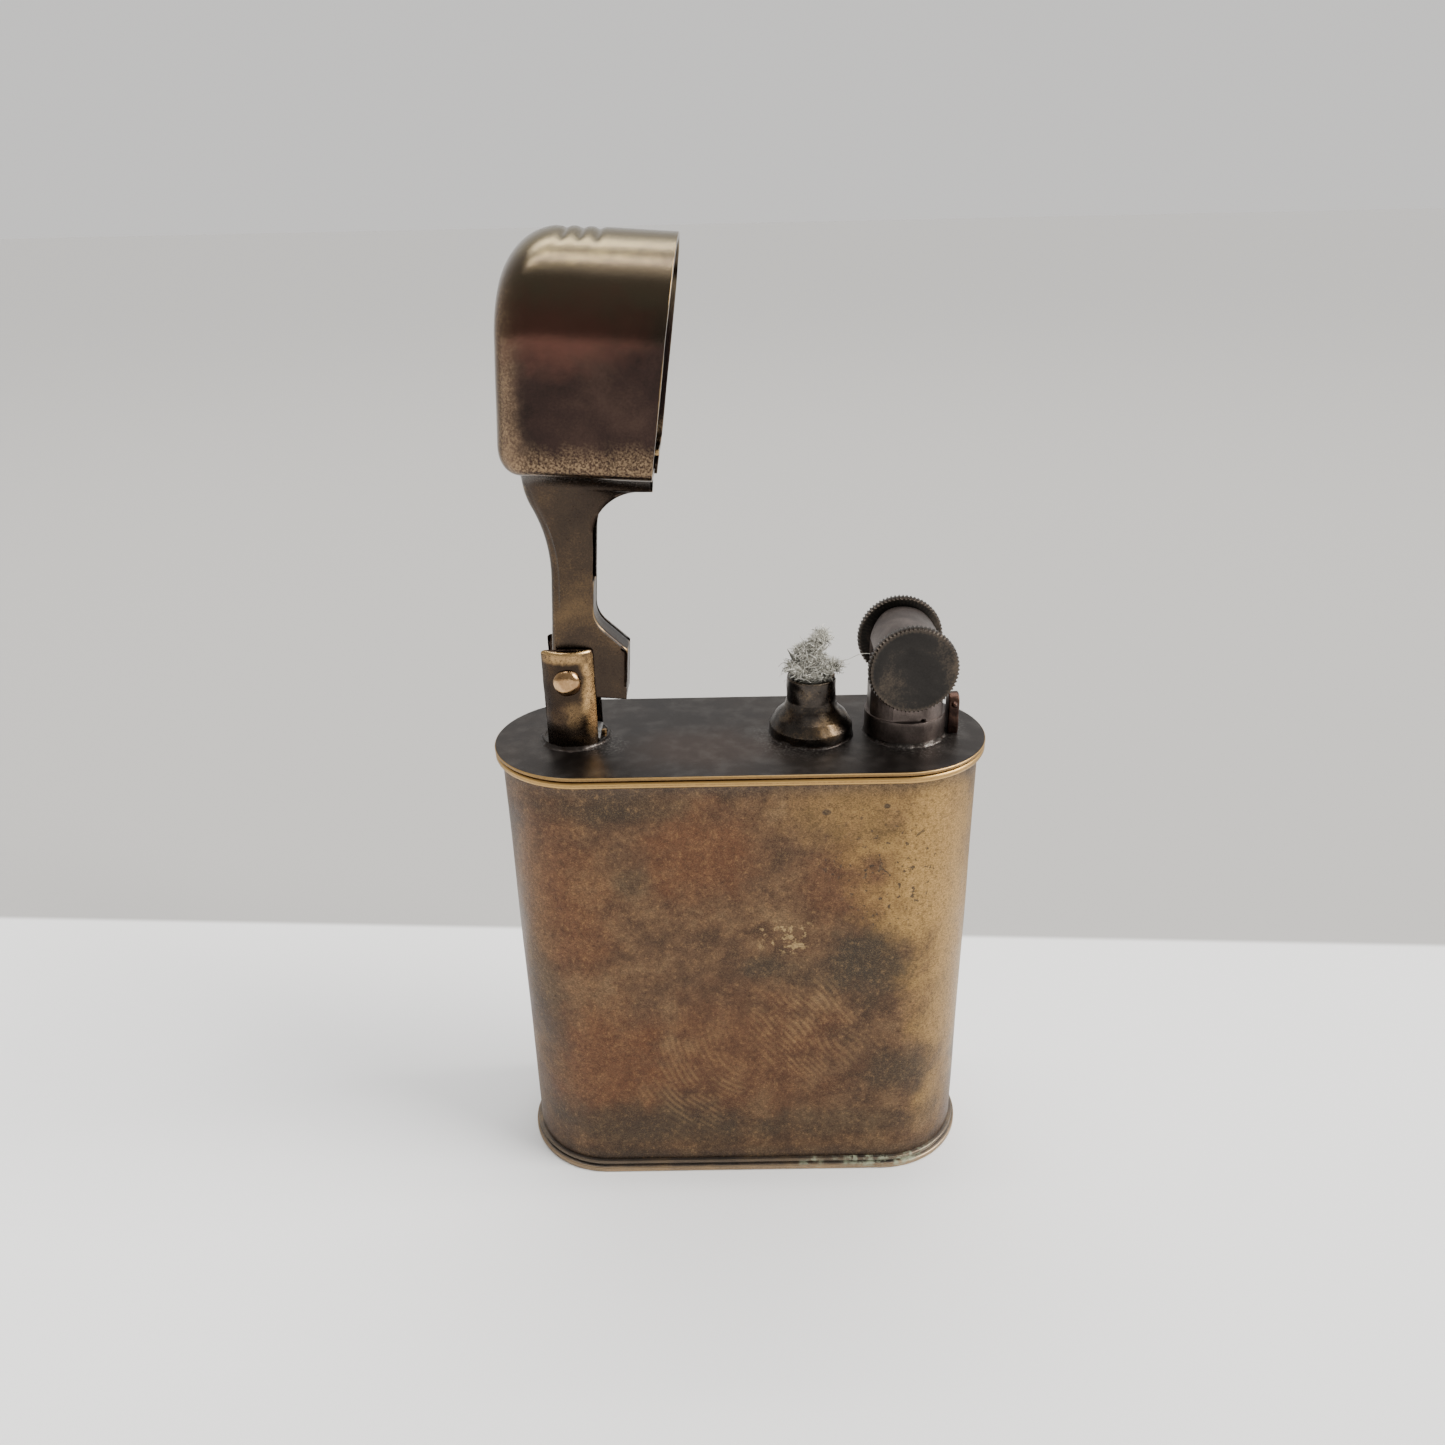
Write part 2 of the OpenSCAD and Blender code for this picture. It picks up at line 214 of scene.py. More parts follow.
def add_bevel(obj, width, segments, angle):
    modifier = obj.modifiers.new("bevel", "BEVEL")
    modifier.width = width * MM
    modifier.segments = segments
    modifier.limit_method = "ANGLE"
    modifier.angle_limit = math.radians(angle)


def bevel(obj, width, segments=3, angle=35):
    add_bevel(obj, width, segments, angle)
    apply_modifiers(obj)
    shade(obj, 40)


def thicken(obj, sheet, clamp=0.0):
    """Gives an open skin its sheet thickness, inwards."""
    solid = obj.modifiers.new("sheet", "SOLIDIFY")
    solid.thickness = sheet * MM
    solid.offset = -1
    solid.use_even_offset = True
    solid.thickness_clamp = clamp
    apply_modifiers(obj)
    with edit_mesh(obj.data) as work:
        bmesh.ops.recalc_face_normals(work, faces=work.faces)


def ring_faces(rings, count, closed=True, first=0):
    """Quads between rings of count points each."""
    faces = []
    for i in range(first, first + (rings - 1) * count, count):
        for j in range(count if closed else count - 1):
            k = (j + 1) % count
            faces.append((i + j, i + k, i + count + k, i + count + j))
    return faces


def turned_faces(steps, outline):
    """Quads of a closed outline carried round a closed path, with none on the axis."""
    count = len(outline)
    faces = []
    for i in range(steps):
        ahead = (i + 1) % steps
        for j in range(count):
            k = (j + 1) % count
            if outline[j][0] > 0 or outline[k][0] > 0:
                faces.append((i * count + j, i * count + k, ahead * count + k, ahead * count + j))
    return faces


def revolve(name, outline, centre, steps=96, axis="z", sharp=35):
    """A closed outline (radius, height) turned about the z or y axis through centre."""
    verts = []
    for i in range(steps):
        a = 2 * math.pi * i / steps
        for r, h in outline:
            x, side = r * math.cos(a), r * math.sin(a)
            verts.append(Vector(centre) + Vector((x, side, h) if axis == "z" else (x, h, side)))
    return finish_mesh(name, verts, turned_faces(steps, outline), sharp)


def block(name, low, high):
    verts = [(x, y, z) for x in (low[0], high[0]) for y in (low[1], high[1]) for z in (low[2], high[2])]
    faces = [(0, 1, 3, 2), (4, 6, 7, 5), (0, 4, 5, 1), (2, 3, 7, 6), (0, 2, 6, 4), (1, 5, 7, 3)]
    return finish_mesh(name, verts, faces)


def slab(name, outline, half, place):
    """An outline (across, along) given a width of half each side; place maps it to the frame."""
    count = len(outline)
    verts = [place(a, side * half, b) for side in (-1, 1) for a, b in outline]
    faces = ring_faces(2, count) + [tuple(range(count)), tuple(range(2 * count - 1, count - 1, -1))]
    return finish_mesh(name, verts, faces)


def oval_rays(arc_steps=48, straight_steps=60):
    """Starts and directions round the flat oval: the front or back straight, then a round end."""
    rays = []
    for side in (-1, 1):
        for i in range(straight_steps):
            rays.append((side * run * (1 - 2 * i / straight_steps), 0, side))
        for i in range(arc_steps):
            a = math.radians(90 * side + 180 * i / arc_steps)
            rays.append((-side * run, math.cos(a), math.sin(a)))
    return rays


def oval_turned(name, outline, rays, wobble=None, sharp=35):
    """A closed outline (radius, height) carried round the flat oval."""
    verts = []
    for origin, dx, dy in rays:
        for r, h in outline:
            point = Vector((origin + r * dx, r * dy, h))
            if wobble:
                point += Vector((dx, dy, 0)) * wobble(point)
            verts.append(point)
    return finish_mesh(name, verts, turned_faces(len(rays), outline), sharp)


def refine(obj, longest, rounds=5):
    """Splits long edges, so that wear and relief have points to follow."""
    with edit_mesh(obj.data) as work:
        bmesh.ops.triangulate(work, faces=work.faces)
        for _ in range(rounds):
            long_edges = [e for e in work.edges if e.calc_length() > longest * MM]
            if not long_edges:
                break
            bmesh.ops.subdivide_edges(work, edges=long_edges, cuts=1)
            bmesh.ops.triangulate(work, faces=[f for f in work.faces if len(f.verts) > 3])
    shade(obj, 40)


def copy_node(node, name):
    """A new piece that starts from a CAD node's own mesh."""
    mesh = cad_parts[node].data.copy()
    mesh.name = name
    with edit_mesh(mesh) as work:
        bmesh.ops.remove_doubles(work, verts=work.verts, dist=WELD * MM)
        bmesh.ops.dissolve_limit(work, angle_limit=math.radians(0.5), verts=work.verts, edges=work.edges)
    return add_object(name, mesh)


def roughen(obj, amount, size, seed=0.0):
    """Moves each point along its normal by a smooth noise, for hand-worn surfaces."""
    offset = Vector((seed, 2 * seed, -seed))
    normals = [v.normal.copy() for v in obj.data.vertices]
    for vertex, normal in zip(obj.data.vertices, normals):
        vertex.co += normal * noise.noise(vertex.co / MM / size + offset) * amount * MM


def mark_edges(obj):
    """Stores how convex each point is, for wear on edges and dirt in corners."""
    mesh = obj.data
    count = len(mesh.vertices)
    co = np.empty(count * 3)
    mesh.vertices.foreach_get("co", co)
    co = co.reshape(-1, 3) / MM
    normals = np.empty(count * 3)
    mesh.vertex_normals.foreach_get("vector", normals)
    normals = normals.reshape(-1, 3)
    pairs = np.empty(len(mesh.edges) * 2, int)
    mesh.edges.foreach_get("vertices", pairs)
    a, b = pairs.reshape(-1, 2).T
    span = co[a] - co[b]
    length = np.maximum((span ** 2).sum(1), 0.0025)
    bend = np.zeros(count)
    near = np.zeros(count)
    np.add.at(bend, a, (span * normals[a]).sum(1) / length)
    np.add.at(bend, b, (-span * normals[b]).sum(1) / length)
    np.add.at(near, a, 1)
    np.add.at(near, b, 1)
    bend = np.clip(bend / np.maximum(near, 1), -3, 3)
    for _ in range(2):
        total = bend * near
        np.add.at(total, a, bend[b])
        np.add.at(total, b, bend[a])
        bend = total / np.maximum(2 * near, 1)
    for label, value in (("edge", bend), ("hollow", -bend)):
        layer = mesh.attributes.new(label, "FLOAT", "POINT")
        layer.data.foreach_set("value", np.clip(value, 0, 1))


def dress(obj, look):
    obj.data.materials.clear()
    obj.data.materials.append(LOOKS[look])


def place(obj, look, body, node, slot):
    """Gives a finished piece its edge marks, its material and its body, and hides the CAD node it stands for."""
    mark_edges(obj)
    dress(obj, look)
    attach(obj, body)
    if node:
        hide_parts(node)


# ---- Materials ----

GRIME = (0.03, 0.02, 0.015)
PATCH_EDGE = 0.85


class Field:
    """A number that varies over a surface, for sums with other fields or plain numbers."""

    def __init__(self, look, socket):
        self.look = look
        self.socket = socket

    def __add__(self, other):
        return self.look.math("ADD", self, other)

    def __mul__(self, other):
        return self.look.math("MULTIPLY", self, other)

    def __sub__(self, other):
        return self.look.math("SUBTRACT", self, other)

    def __rsub__(self, other):
        return self.look.math("SUBTRACT", other, self)

    def clamped(self):
        self.socket.node.use_clamp = True
        return self

    def swing(self, amount):
        """A 0 to 1 field as plus or minus half the amount."""
        return (self - 0.5) * amount

    def band(self, low, high):
        """0 at low and 1 at high, with a smooth rise."""
        node = self.look.add("MapRange", self, {"From Min": low, "From Max": high})
        node.interpolation_type = "SMOOTHSTEP"
        return Field(self.look, node.outputs["Result"])


class Look:
    """A material and short ways to add nodes to it. Its coordinates are millimetres."""

    def __init__(self, name, metallic=1.0):
        self.material = bpy.data.materials.new(name)
        self.material.use_nodes = True
        self.tree = self.material.node_tree
        self.shader = self.tree.nodes["Principled BSDF"]
        self.shader.inputs["Metallic"].default_value = metallic
        coordinates = self.tree.nodes.new("ShaderNodeTexCoord")
        self.mm = self.vector("SCALE", coordinates.outputs["Object"], "Scale", 1 / MM)
        self.base = None

    def feed(self, value, socket):
        """Links a field or a socket, or sets a plain number or colour."""
        if isinstance(value, Field):
            value = value.socket
        if isinstance(value, bpy.types.NodeSocket):
            self.tree.links.new(value, socket)
        elif isinstance(value, tuple) and len(value) == 3 and len(socket.default_value) == 4:
            socket.default_value = (*value, 1)
        else:
            socket.default_value = value

    def add(self, kind, source, settings):
        """A node with its first input linked and other inputs set by name."""
        node = self.tree.nodes.new("ShaderNode" + kind)
        self.feed(source, node.inputs[0])
        for name, value in settings.items():
            self.feed(value, node.inputs[name])
        return node

    def vector(self, operation, source, socket=1, value=None):
        node = self.add("VectorMath", source, {})
        node.operation = operation
        if value is not None:
            node.inputs[socket].default_value = value
        return Field(self, node.outputs["Value"]) if operation == "LENGTH" else node.outputs["Vector"]

    def math(self, operation, a, b):
        node = self.add("Math", a, {1: b})
        node.operation = operation
        return Field(self, node.outputs[0])

    def most(self, a, b):
        return self.math("MAXIMUM", a, b)

    def stretch(self, factors, shift=(0, 0, 0)):
        return self.add("Mapping", self.mm, {"Scale": factors, "Location": shift}).outputs[0]

    def noise(self, per_mm, detail=3, rough=0.55, distort=0.0, vector=None):
        settings = {"Scale": per_mm, "Detail": detail, "Roughness": rough, "Distortion": distort}
        return Field(self, self.add("TexNoise", vector or self.mm, settings).outputs["Fac"])

    def mix(self, factor, a, b):
        node = self.tree.nodes.new("ShaderNodeMix")
        node.data_type = "RGBA"
        for value, index in ((factor, 0), (a, 6), (b, 7)):
            self.feed(value, node.inputs[index])
        return node.outputs[2]

    def ramp(self, value, stops):
        node = self.add("ValToRGB", value, {})
        elements = node.color_ramp.elements
        while len(elements) < len(stops):
            elements.new(0.5)
        for element, (position, colour) in zip(elements, stops):
            element.position = position
            element.color = (*colour, 1)
        return node.outputs[0]

    def patch(self, centre, radii, rag=0.5, per_mm=0.35, soft=0.6):
        """A ragged patch round a point: 1 inside and 0 outside."""
        away = self.vector("DIVIDE", self.vector("SUBTRACT", self.mm, 1, centre), 1, radii)
        total = self.vector("LENGTH", away) + self.noise(per_mm, 5).swing(2 * rag)
        return total.band(PATCH_EDGE + soft / 2, PATCH_EDGE - soft / 2)

    def cover(self, mask, strength, colour):
        """Paints a colour over the base colour so far."""
        self.base = self.mix(mask * strength if strength < 1 else mask, self.base, colour)

    def stains(self, colour, per_mm, soft, rows):
        """Ragged patches of one colour, each row a centre, radii and strength."""
        for centre, radii, strength in rows:
            self.cover(self.patch(centre, radii, 0.8, per_mm, soft), strength, colour)

    def attribute(self, name):
        node = self.tree.nodes.new("ShaderNodeAttribute")
        node.attribute_name = name
        return Field(self, node.outputs["Fac"])

    def axis(self, index):
        return Field(self, self.add("SeparateXYZ", self.mm, {}).outputs[index])

    def rough(self, value):
        self.feed(value, self.shader.inputs["Roughness"])

    def metal(self, value):
        self.feed(value, self.shader.inputs["Metallic"])

    def relief(self, *layers):
        """Bump from layers of (height, depth in millimetres)."""
        normal = None
        for height, depth in layers:
            node = self.tree.nodes.new("ShaderNodeBump")
            node.inputs["Distance"].default_value = depth * MM
            self.feed(height, node.inputs["Height"])
            if normal:
                self.feed(normal, node.inputs["Normal"])
            normal = node.outputs[0]
        self.feed(normal, self.shader.inputs["Normal"])

    def done(self):
        self.feed(self.base, self.shader.inputs["Base Color"])
        return self.material


def aged_brass(name, tones, worn=0.0, cloud=0.25, rough=(0.28, 0.5), speck=0.5, pit_depth=0.012, rub=None):
    """Brass with cloudy patina, bright worn edges, grime in corners, specks and fine scratches."""
    look = Look(name)
    dark, mid, bright = tones
    clouds = look.noise(cloud, 6, 0.6, 0.4)
    grain = look.noise(7, 3, 0.7)
    fine = look.noise(22, 2, 0.6)
    look.base = look.ramp(clouds + grain.swing(0.35), [(0.34, dark), (0.52, mid), (0.72, bright)])
    edge = (look.attribute("edge") + grain.swing(0.6)).band(0.12, 0.6)
    edge = (edge * worn).clamped()
    look.cover(edge, 1, bright)
    if rub:
        look.cover((look.attribute("edge") + grain.swing(0.5)).band(0.3, 0.7), 0.85, rub)
    look.cover((look.attribute("hollow") + clouds.swing(0.5)).band(0.08, 0.5), 1, GRIME)
    specks = look.noise(3.2, 4, 0.75).band(0.63, 0.7) * speck
    look.cover(specks, 1, GRIME)
    scratch = look.noise(1.0, 4, 0.8, 0, look.stretch((14, 14, 1.2)))
    gloss = grain * (rough[1] - rough[0]) + rough[0]
    gloss = gloss + specks * 0.25
    look.rough((gloss - edge * 0.12).clamped())
    look.relief((scratch, 0.006), (fine, 0.004), (1.0 - specks, pit_depth), (clouds, 0.03))
    return look


def handling_marks(look):
    """Faint curved streaks in two patches."""
    marks = []
    for kind, scale, distortion, shift, centre, radii in (
            ("RINGS", 0.62, 9, (-1.5, 0, -13), (-4.2, -7, 10), (4.5, 9, 6.5)),
            ("BANDS", 0.85, 14, (0, 0, 0), (5.2, -7, 15.5), (5, 9, 6))):
        settings = {"Scale": scale, "Distortion": distortion, "Detail": 1, "Detail Scale": 0.25}
        waves = look.add("TexWave", look.stretch((1, 1, 0.8), shift), settings)
        waves.wave_type = kind
        waves.rings_direction = "Y"
        waves.bands_direction = "DIAGONAL"
        marks.append(Field(look, waves.outputs["Fac"]).band(0.3, 0.8) * look.patch(centre, radii, 0.9, 0.3, 1.0))
    return look.most(*marks)


def shell_look():
    """The tank's front: brown patina, copper-orange clouds, a golden band on the right end that is partly worn brass
    and partly painted highlight, and dark stains.
    """
    look = Look("shell_patina")
    z = look.axis(2)
    clouds = look.noise(0.13, 6, 0.58, 0.5)
    cells = look.noise(0.42, 5, 0.62)
    grain = look.noise(1.0, 4, 0.75, 0.3, look.stretch((5.5, 5.5, 9)))
    fine = look.noise(16, 2, 0.6)
    look.base = look.ramp(clouds * 0.5 + cells * 0.5,
                          [(0.38, (0.043, 0.029, 0.022)), (0.46, (0.077, 0.046, 0.031)),
                           (0.53, (0.115, 0.067, 0.04)), (0.62, (0.167, 0.106, 0.06))])
    copper, gold, olive = (0.14, 0.055, 0.028), (0.4, 0.245, 0.085), (0.042, 0.036, 0.029)
    look.stains(copper, 0.4, 1.0, (
        ((-3.5, -7, 33), (5, 9, 5), 0.55), ((-15, -7, 28), (4.5, 9, 9), 0.5), ((-12, -7, 12), (6, 9, 7), 0.55),
        ((0, -7, 13), (9, 9, 7), 0.42), ((9, -7, 30), (5, 9, 4), 0.35), ((-14, 7, 22), (6, 9, 14), 0.5),
        ((6, 7, 26), (9, 9, 9), 0.45)))
    # Golden patches: worn brass, with a painted highlight in the ones on the right end
    look.stains(gold, 0.35, 1.1, (
        ((15.8, -5, 32), (5.6, 9, 10), 0.9), ((17.8, -4, 20), (3.4, 9, 12), 0.75), ((10, -6, 37), (7, 9, 4), 0.4),
        ((17, -5, 7), (2.4, 9, 4), 0.35), ((-17.5, -5, 26), (2.2, 9, 9), 0.12), ((12, 6, 33), (7, 9, 6), 0.6),
        ((-16, 6, 12), (4, 9, 9), 0.6)))
    look.stains(olive, 0.5, 0.9, (
        ((10.4, -7, 22.2), (3.4, 9, 4), 0.9), ((2, -7, 22.2), (2.1, 9, 1.4), 0.75), ((6, -7, 21.2), (4, 9, 2), 0.5),
        ((13.6, -7, 10.6), (3.2, 9, 2.8), 0.75), ((-8, -7, 5), (11, 9, 2.6), 0.7), ((9, -7, 5), (9, 9, 1.8), 0.5),
        ((-10, -7, 37.3), (6, 9, 1.7), 0.6), ((-9, -7, 30.5), (1.8, 9, 1.6), 0.5), ((-17, -7, 18), (2.6, 9, 7), 0.5),
        ((0, 7, 12), (8, 9, 4), 0.6), ((-4, 7, 33), (4, 9, 3), 0.6)))
    # Dark line under the lid and above the base, then worn bright flecks
    ends = look.most(z.band(shell_high.z - 1.6, shell_high.z), z.band(shell_low.z + 1.8, shell_low.z))
    look.cover(ends, 0.65, (0.068, 0.056, 0.048))
    fleck = look.noise(1.3, 4, 0.6).band(0.54, 0.62)
    look.cover(look.patch((3.6, -7, 25), (2.6, 9, 1.9), 0.5, 0.6) * fleck, 0.55, (0.5, 0.36, 0.17))
    # Pits, thickest on the golden band, and two round spots
    pits = look.noise(2.5, 2, 0.4).band(0.645, 0.69)
    pits = pits * (look.patch((12, -6, 31), (5.5, 9, 6.5), 0.5, 0.3) * 0.85 + 0.1)
    spots = look.most(look.patch((6.6, -7.1, 36.6), (0.4, 2, 0.3), 0.3, 1.5),
                      look.patch((11.3, -7.1, 37.1), (0.3, 2, 0.24), 0.3, 1.5))
    stain = look.most(pits, spots)
    look.cover(stain, 0.85, (0.05, 0.034, 0.02))
    # Fine uneven grain
    look.base = look.mix(grain.band(0.36, 0.62), look.mix(0.55, look.base, (0.03, 0.019, 0.012)), look.base)
    mottle = look.noise(2.6, 5, 0.85)
    look.cover(mottle.band(0.5, 0.36), 0.5, (0.028, 0.019, 0.014))
    look.cover(mottle.band(0.52, 0.68), 0.3, (0.38, 0.23, 0.1))
    look.cover(fine.band(0.52, 0.72), 0.2, (0.45, 0.3, 0.15))
    marks = handling_marks(look) * cells.band(0.42, 0.56)
    look.cover(marks, 0.2, (0.3, 0.19, 0.085))
    gloss = grain.band(0.3, 0.7) * -0.1 + 0.47
    gloss = gloss + clouds.band(0.4, 0.6) * 0.08
    gloss = gloss + stain * 0.3
    look.rough((gloss + marks * -0.06).clamped())
    look.metal(0.92 - stain * 0.4)
    look.relief((grain, 0.012), (fine, 0.004), (1.0 - stain, 0.03), (marks, 0.004), (clouds, 0.08))
    return look.done()


def lid_look():
    """Dark top plate with bright rubbed rims and pale dust round the posts."""
    look = aged_brass("lid_patina", ((0.022, 0.0185, 0.0175), (0.028, 0.023, 0.0205), (0.038, 0.029, 0.024)),
                      cloud=0.09, rough=(0.34, 0.42), speck=0.1)
    grain = look.noise(5, 3, 0.7)
    z = look.axis(2)
    edge = look.attribute("edge")
    side = z.band(top_z - 0.02, top_z - 0.12)
    look.cover(look.patch((-3, -3, top_z), (6.5, 4, 2), 0.6, 0.25, 1.0), 0.7, (0.047, 0.031, 0.024))
    look.cover(side, 0.8, (0.075, 0.046, 0.022))
    look.cover(side * (edge + grain).band(0.35, 0.75), 0.25, (0.35, 0.2, 0.08))
    rim = (edge + grain * 0.3).band(0.5, 0.9)
    look.cover(rim * z.band(top_z, top_z - 0.03), 0.9, (0.47, 0.29, 0.1))
    look.cover(look.attribute("hollow").band(0.1, 0.35) * side, 1, (0.035, 0.022, 0.015))
    dust = 0.0
    for x, y, radius in ((pin.x + 2.2, -1.6, 2.3), (wick_x - 0.6, -0.8, 4.2), (housing_x + 0.6, -1.4, 3.8),
                         (housing_x + 3, 1, 2.4)):
        dust = look.most(dust, look.patch((x, y, top_z), (radius, radius, 0.4), 0.4, 0.8))
    dusty = dust * look.noise(4.5, 5, 0.75).band(0.46, 0.68)
    haze = look.noise(0.5, 5, 0.6).band(0.42, 0.7) * 0.12
    top = z.band(top_z - 0.1, top_z - 0.02)
    dusty = (dusty * 0.55 + haze).clamped() * top
    look.cover(dusty, 1, (0.17, 0.155, 0.14))
    look.metal(0.95 - dusty * 0.9)
    return look.done()


def base_look():
    """Base plate: brown flange, painted shade over the flange top and the groove above it, and pale green verdigris at
    the front right.
    """
    look = aged_brass("base_patina", ((0.09, 0.078, 0.07), (0.15, 0.12, 0.098), (0.36, 0.25, 0.14)), worn=0.7,
                      cloud=0.35, rough=(0.34, 0.55))
    z = look.axis(2)
    # Painted shade: a darker band from the flange top up over the groove and bead
    look.cover(z.band(0.4, 0.6) * z.band(1.3, 1.0), 0.65, (0.06, 0.053, 0.047))
    salts = look.most(look.patch((12.5, -7.4, 0.8), (5.5, 3, 0.55), 0.5, 0.9),
                      look.patch((6, -7.5, 0.7), (1.2, 3, 0.5), 0.5, 0.9))
    salts = salts * look.noise(1.1, 5, 0.75).band(0.44, 0.6)
    look.cover(salts, 0.85, (0.25, 0.275, 0.18))
    look.metal(0.95 - salts * 0.95)
    return look.done()


def cap_look():
    """Cap: dark chestnut patina; a golden tip and an olive band below it, each partly the brass's own colour and
    partly painted highlight; a soft reddish band, partly patina and partly painted reflection of the floor; golden
    worn rims; a painted highlight down the rounded back edge; brassy speckle down the back and the lower edge.
    """
    look = aged_brass("cap_patina", ((0.018, 0.0135, 0.012), (0.029, 0.0187, 0.016), (0.045, 0.0285, 0.0225)),
                      cloud=0.14, rough=(0.11, 0.19), speck=0.2, pit_depth=0.004)
    tip_z = arm_point(0, 0, CAP_TIP)[2]
    foot_z = arm_point(0, 0, ARM_END)[2]
    back_x = arm_point(CAP_BACK, 0, 24)[0]
    fine = look.noise(3.5, 5, 0.8)
    fuzz = look.noise(0.8, 4, 0.7).swing(2.2)
    x = look.axis(0) + fuzz
    z = look.axis(2) + fuzz
    # Golden tip and olive band below it: brass colour with painted highlight from the lamps above
    look.cover(z.band(tip_z - 2.6, tip_z - 0.6), 0.85, (0.39, 0.3, 0.115))
    look.cover(z.band(tip_z - 8, tip_z - 4), 0.7, (0.1, 0.078, 0.05))
    look.cover((look.attribute("edge") + fine * 0.3).band(0.5, 0.8), 0.75, (0.3, 0.2, 0.09))
    # Soft reddish band: patina with a painted reflection of the bright floor
    look.cover(look.patch((pin.x + 1.5, -6, foot_z + 9.5), (6, 4, 2.4), 0.7, 0.5, 1.2), 0.75, (0.1, 0.043, 0.032))
    # Painted highlight: a lighter band down the rounded back edge
    look.cover(x.band(back_x + 2.6, back_x + 0.2), 0.6, (0.15, 0.1, 0.068))
    wear = look.most(x.band(back_x + 2.0, back_x + 0.1), z.band(foot_z + 2.6, foot_z + 0.9))
    look.cover(wear * look.noise(5.5, 4, 0.8).band(0.4, 0.64), 0.6, (0.32, 0.22, 0.125))
    return look.done()


def post_look():
    """Post: coppery, golden patches on the cheek that are partly rubbed brass and partly painted highlight down its
    right side, painted shade down its left side, and dark down at the foot.
    """
    look = aged_brass("post_patina", ((0.02, 0.0145, 0.011), (0.034, 0.0235, 0.0165), (0.085, 0.054, 0.03)),
                      cloud=0.45, rough=(0.2, 0.34), speck=0.6, pit_depth=0.02, rub=(0.55, 0.36, 0.16))
    # Golden patches on the cheek: rubbed brass, with a painted highlight down its right side
    for x, y, z, radii, strength in ((1.8, -2.2, 4.6, (0.8, 2, 3.6), 0.95), (0, -2.7, 7.8, (2.4, 2, 0.5), 0.6),
                                     (0.4, -2.7, 3, (0.8, 2, 1.2), 0.2)):
        mask = look.patch((pin.x + x, y, top_z + z), radii, 0.7, 0.9, 0.9)
        look.cover(mask * look.noise(4, 4, 0.8).band(0.28, 0.52), strength, (0.46, 0.29, 0.13))
    # Painted shade down the post's left side
    look.cover(look.patch((pin.x - 2, -2, top_z + 4), (1.1, 2, 4.5), 0.4, 0.8, 1.0), 0.6, (0.014, 0.0105, 0.009))
    look.cover(look.patch((pin.x, -2.7, pin.z), (1.7, 2, 1.7), 0.25, 1.0), 0.8, (0.03, 0.021, 0.015))
    foot = (look.axis(2) + look.noise(0.9, 4) * 2.5).band(top_z + 3.6, top_z + 1.2)
    look.cover(foot, 0.6, (0.032, 0.024, 0.018))
    return look.done()


def holder_look():
    """Wick holder: dark bronze, with a golden patch on the front of its foot that is partly rubbed brass and partly
    painted highlight.
    """
    look = aged_brass("holder_patina", ((0.034, 0.03, 0.027), (0.05, 0.042, 0.036), (0.13, 0.095, 0.06)), worn=0.35,
                      cloud=0.5, rough=(0.22, 0.36), speck=0.4, pit_depth=0.02)
    # Golden patch on the foot's front: rubbed brass with a painted highlight
    mask = look.patch((wick_x + 1.1, -2.8, top_z + 1.5), (1.3, 1.6, 0.8), 0.6, 0.9, 1.0)
    look.cover(mask * look.noise(4, 4, 0.8).band(0.3, 0.55), 0.4, (0.3, 0.19, 0.09))
    return look.done()


def cotton_look():
    """Frayed cotton: off-white to grey fibres, charred at some ends."""
    look = Look("cotton", 0.0)
    tone = look.attribute("tint") * 0.7 + look.noise(2.4, 4, 0.7) * 0.4
    look.base = look.ramp(tone, [(0.12, (0.03, 0.027, 0.022)), (0.32, (0.14, 0.135, 0.11)),
                                 (0.58, (0.42, 0.405, 0.345)), (0.88, (0.72, 0.7, 0.63))])
    look.rough(0.95)
    look.shader.inputs["Sheen Weight"].default_value = 0.25
    look.relief((look.noise(14, 3, 0.7), 0.02))
    return look.done()


def plain_look(name, dark, light, metallic, rough, per_mm, depth):
    """A quiet two-tone surface for inner pieces."""
    look = Look(name, metallic)
    look.base = look.ramp(look.noise(per_mm, 5, 0.65), [(0.35, dark), (0.65, light)])
    look.rough(look.noise(per_mm * 6, 3) * 0.2 + rough - 0.1)
    look.relief((look.noise(per_mm * 8, 3), depth))
    return look.done()


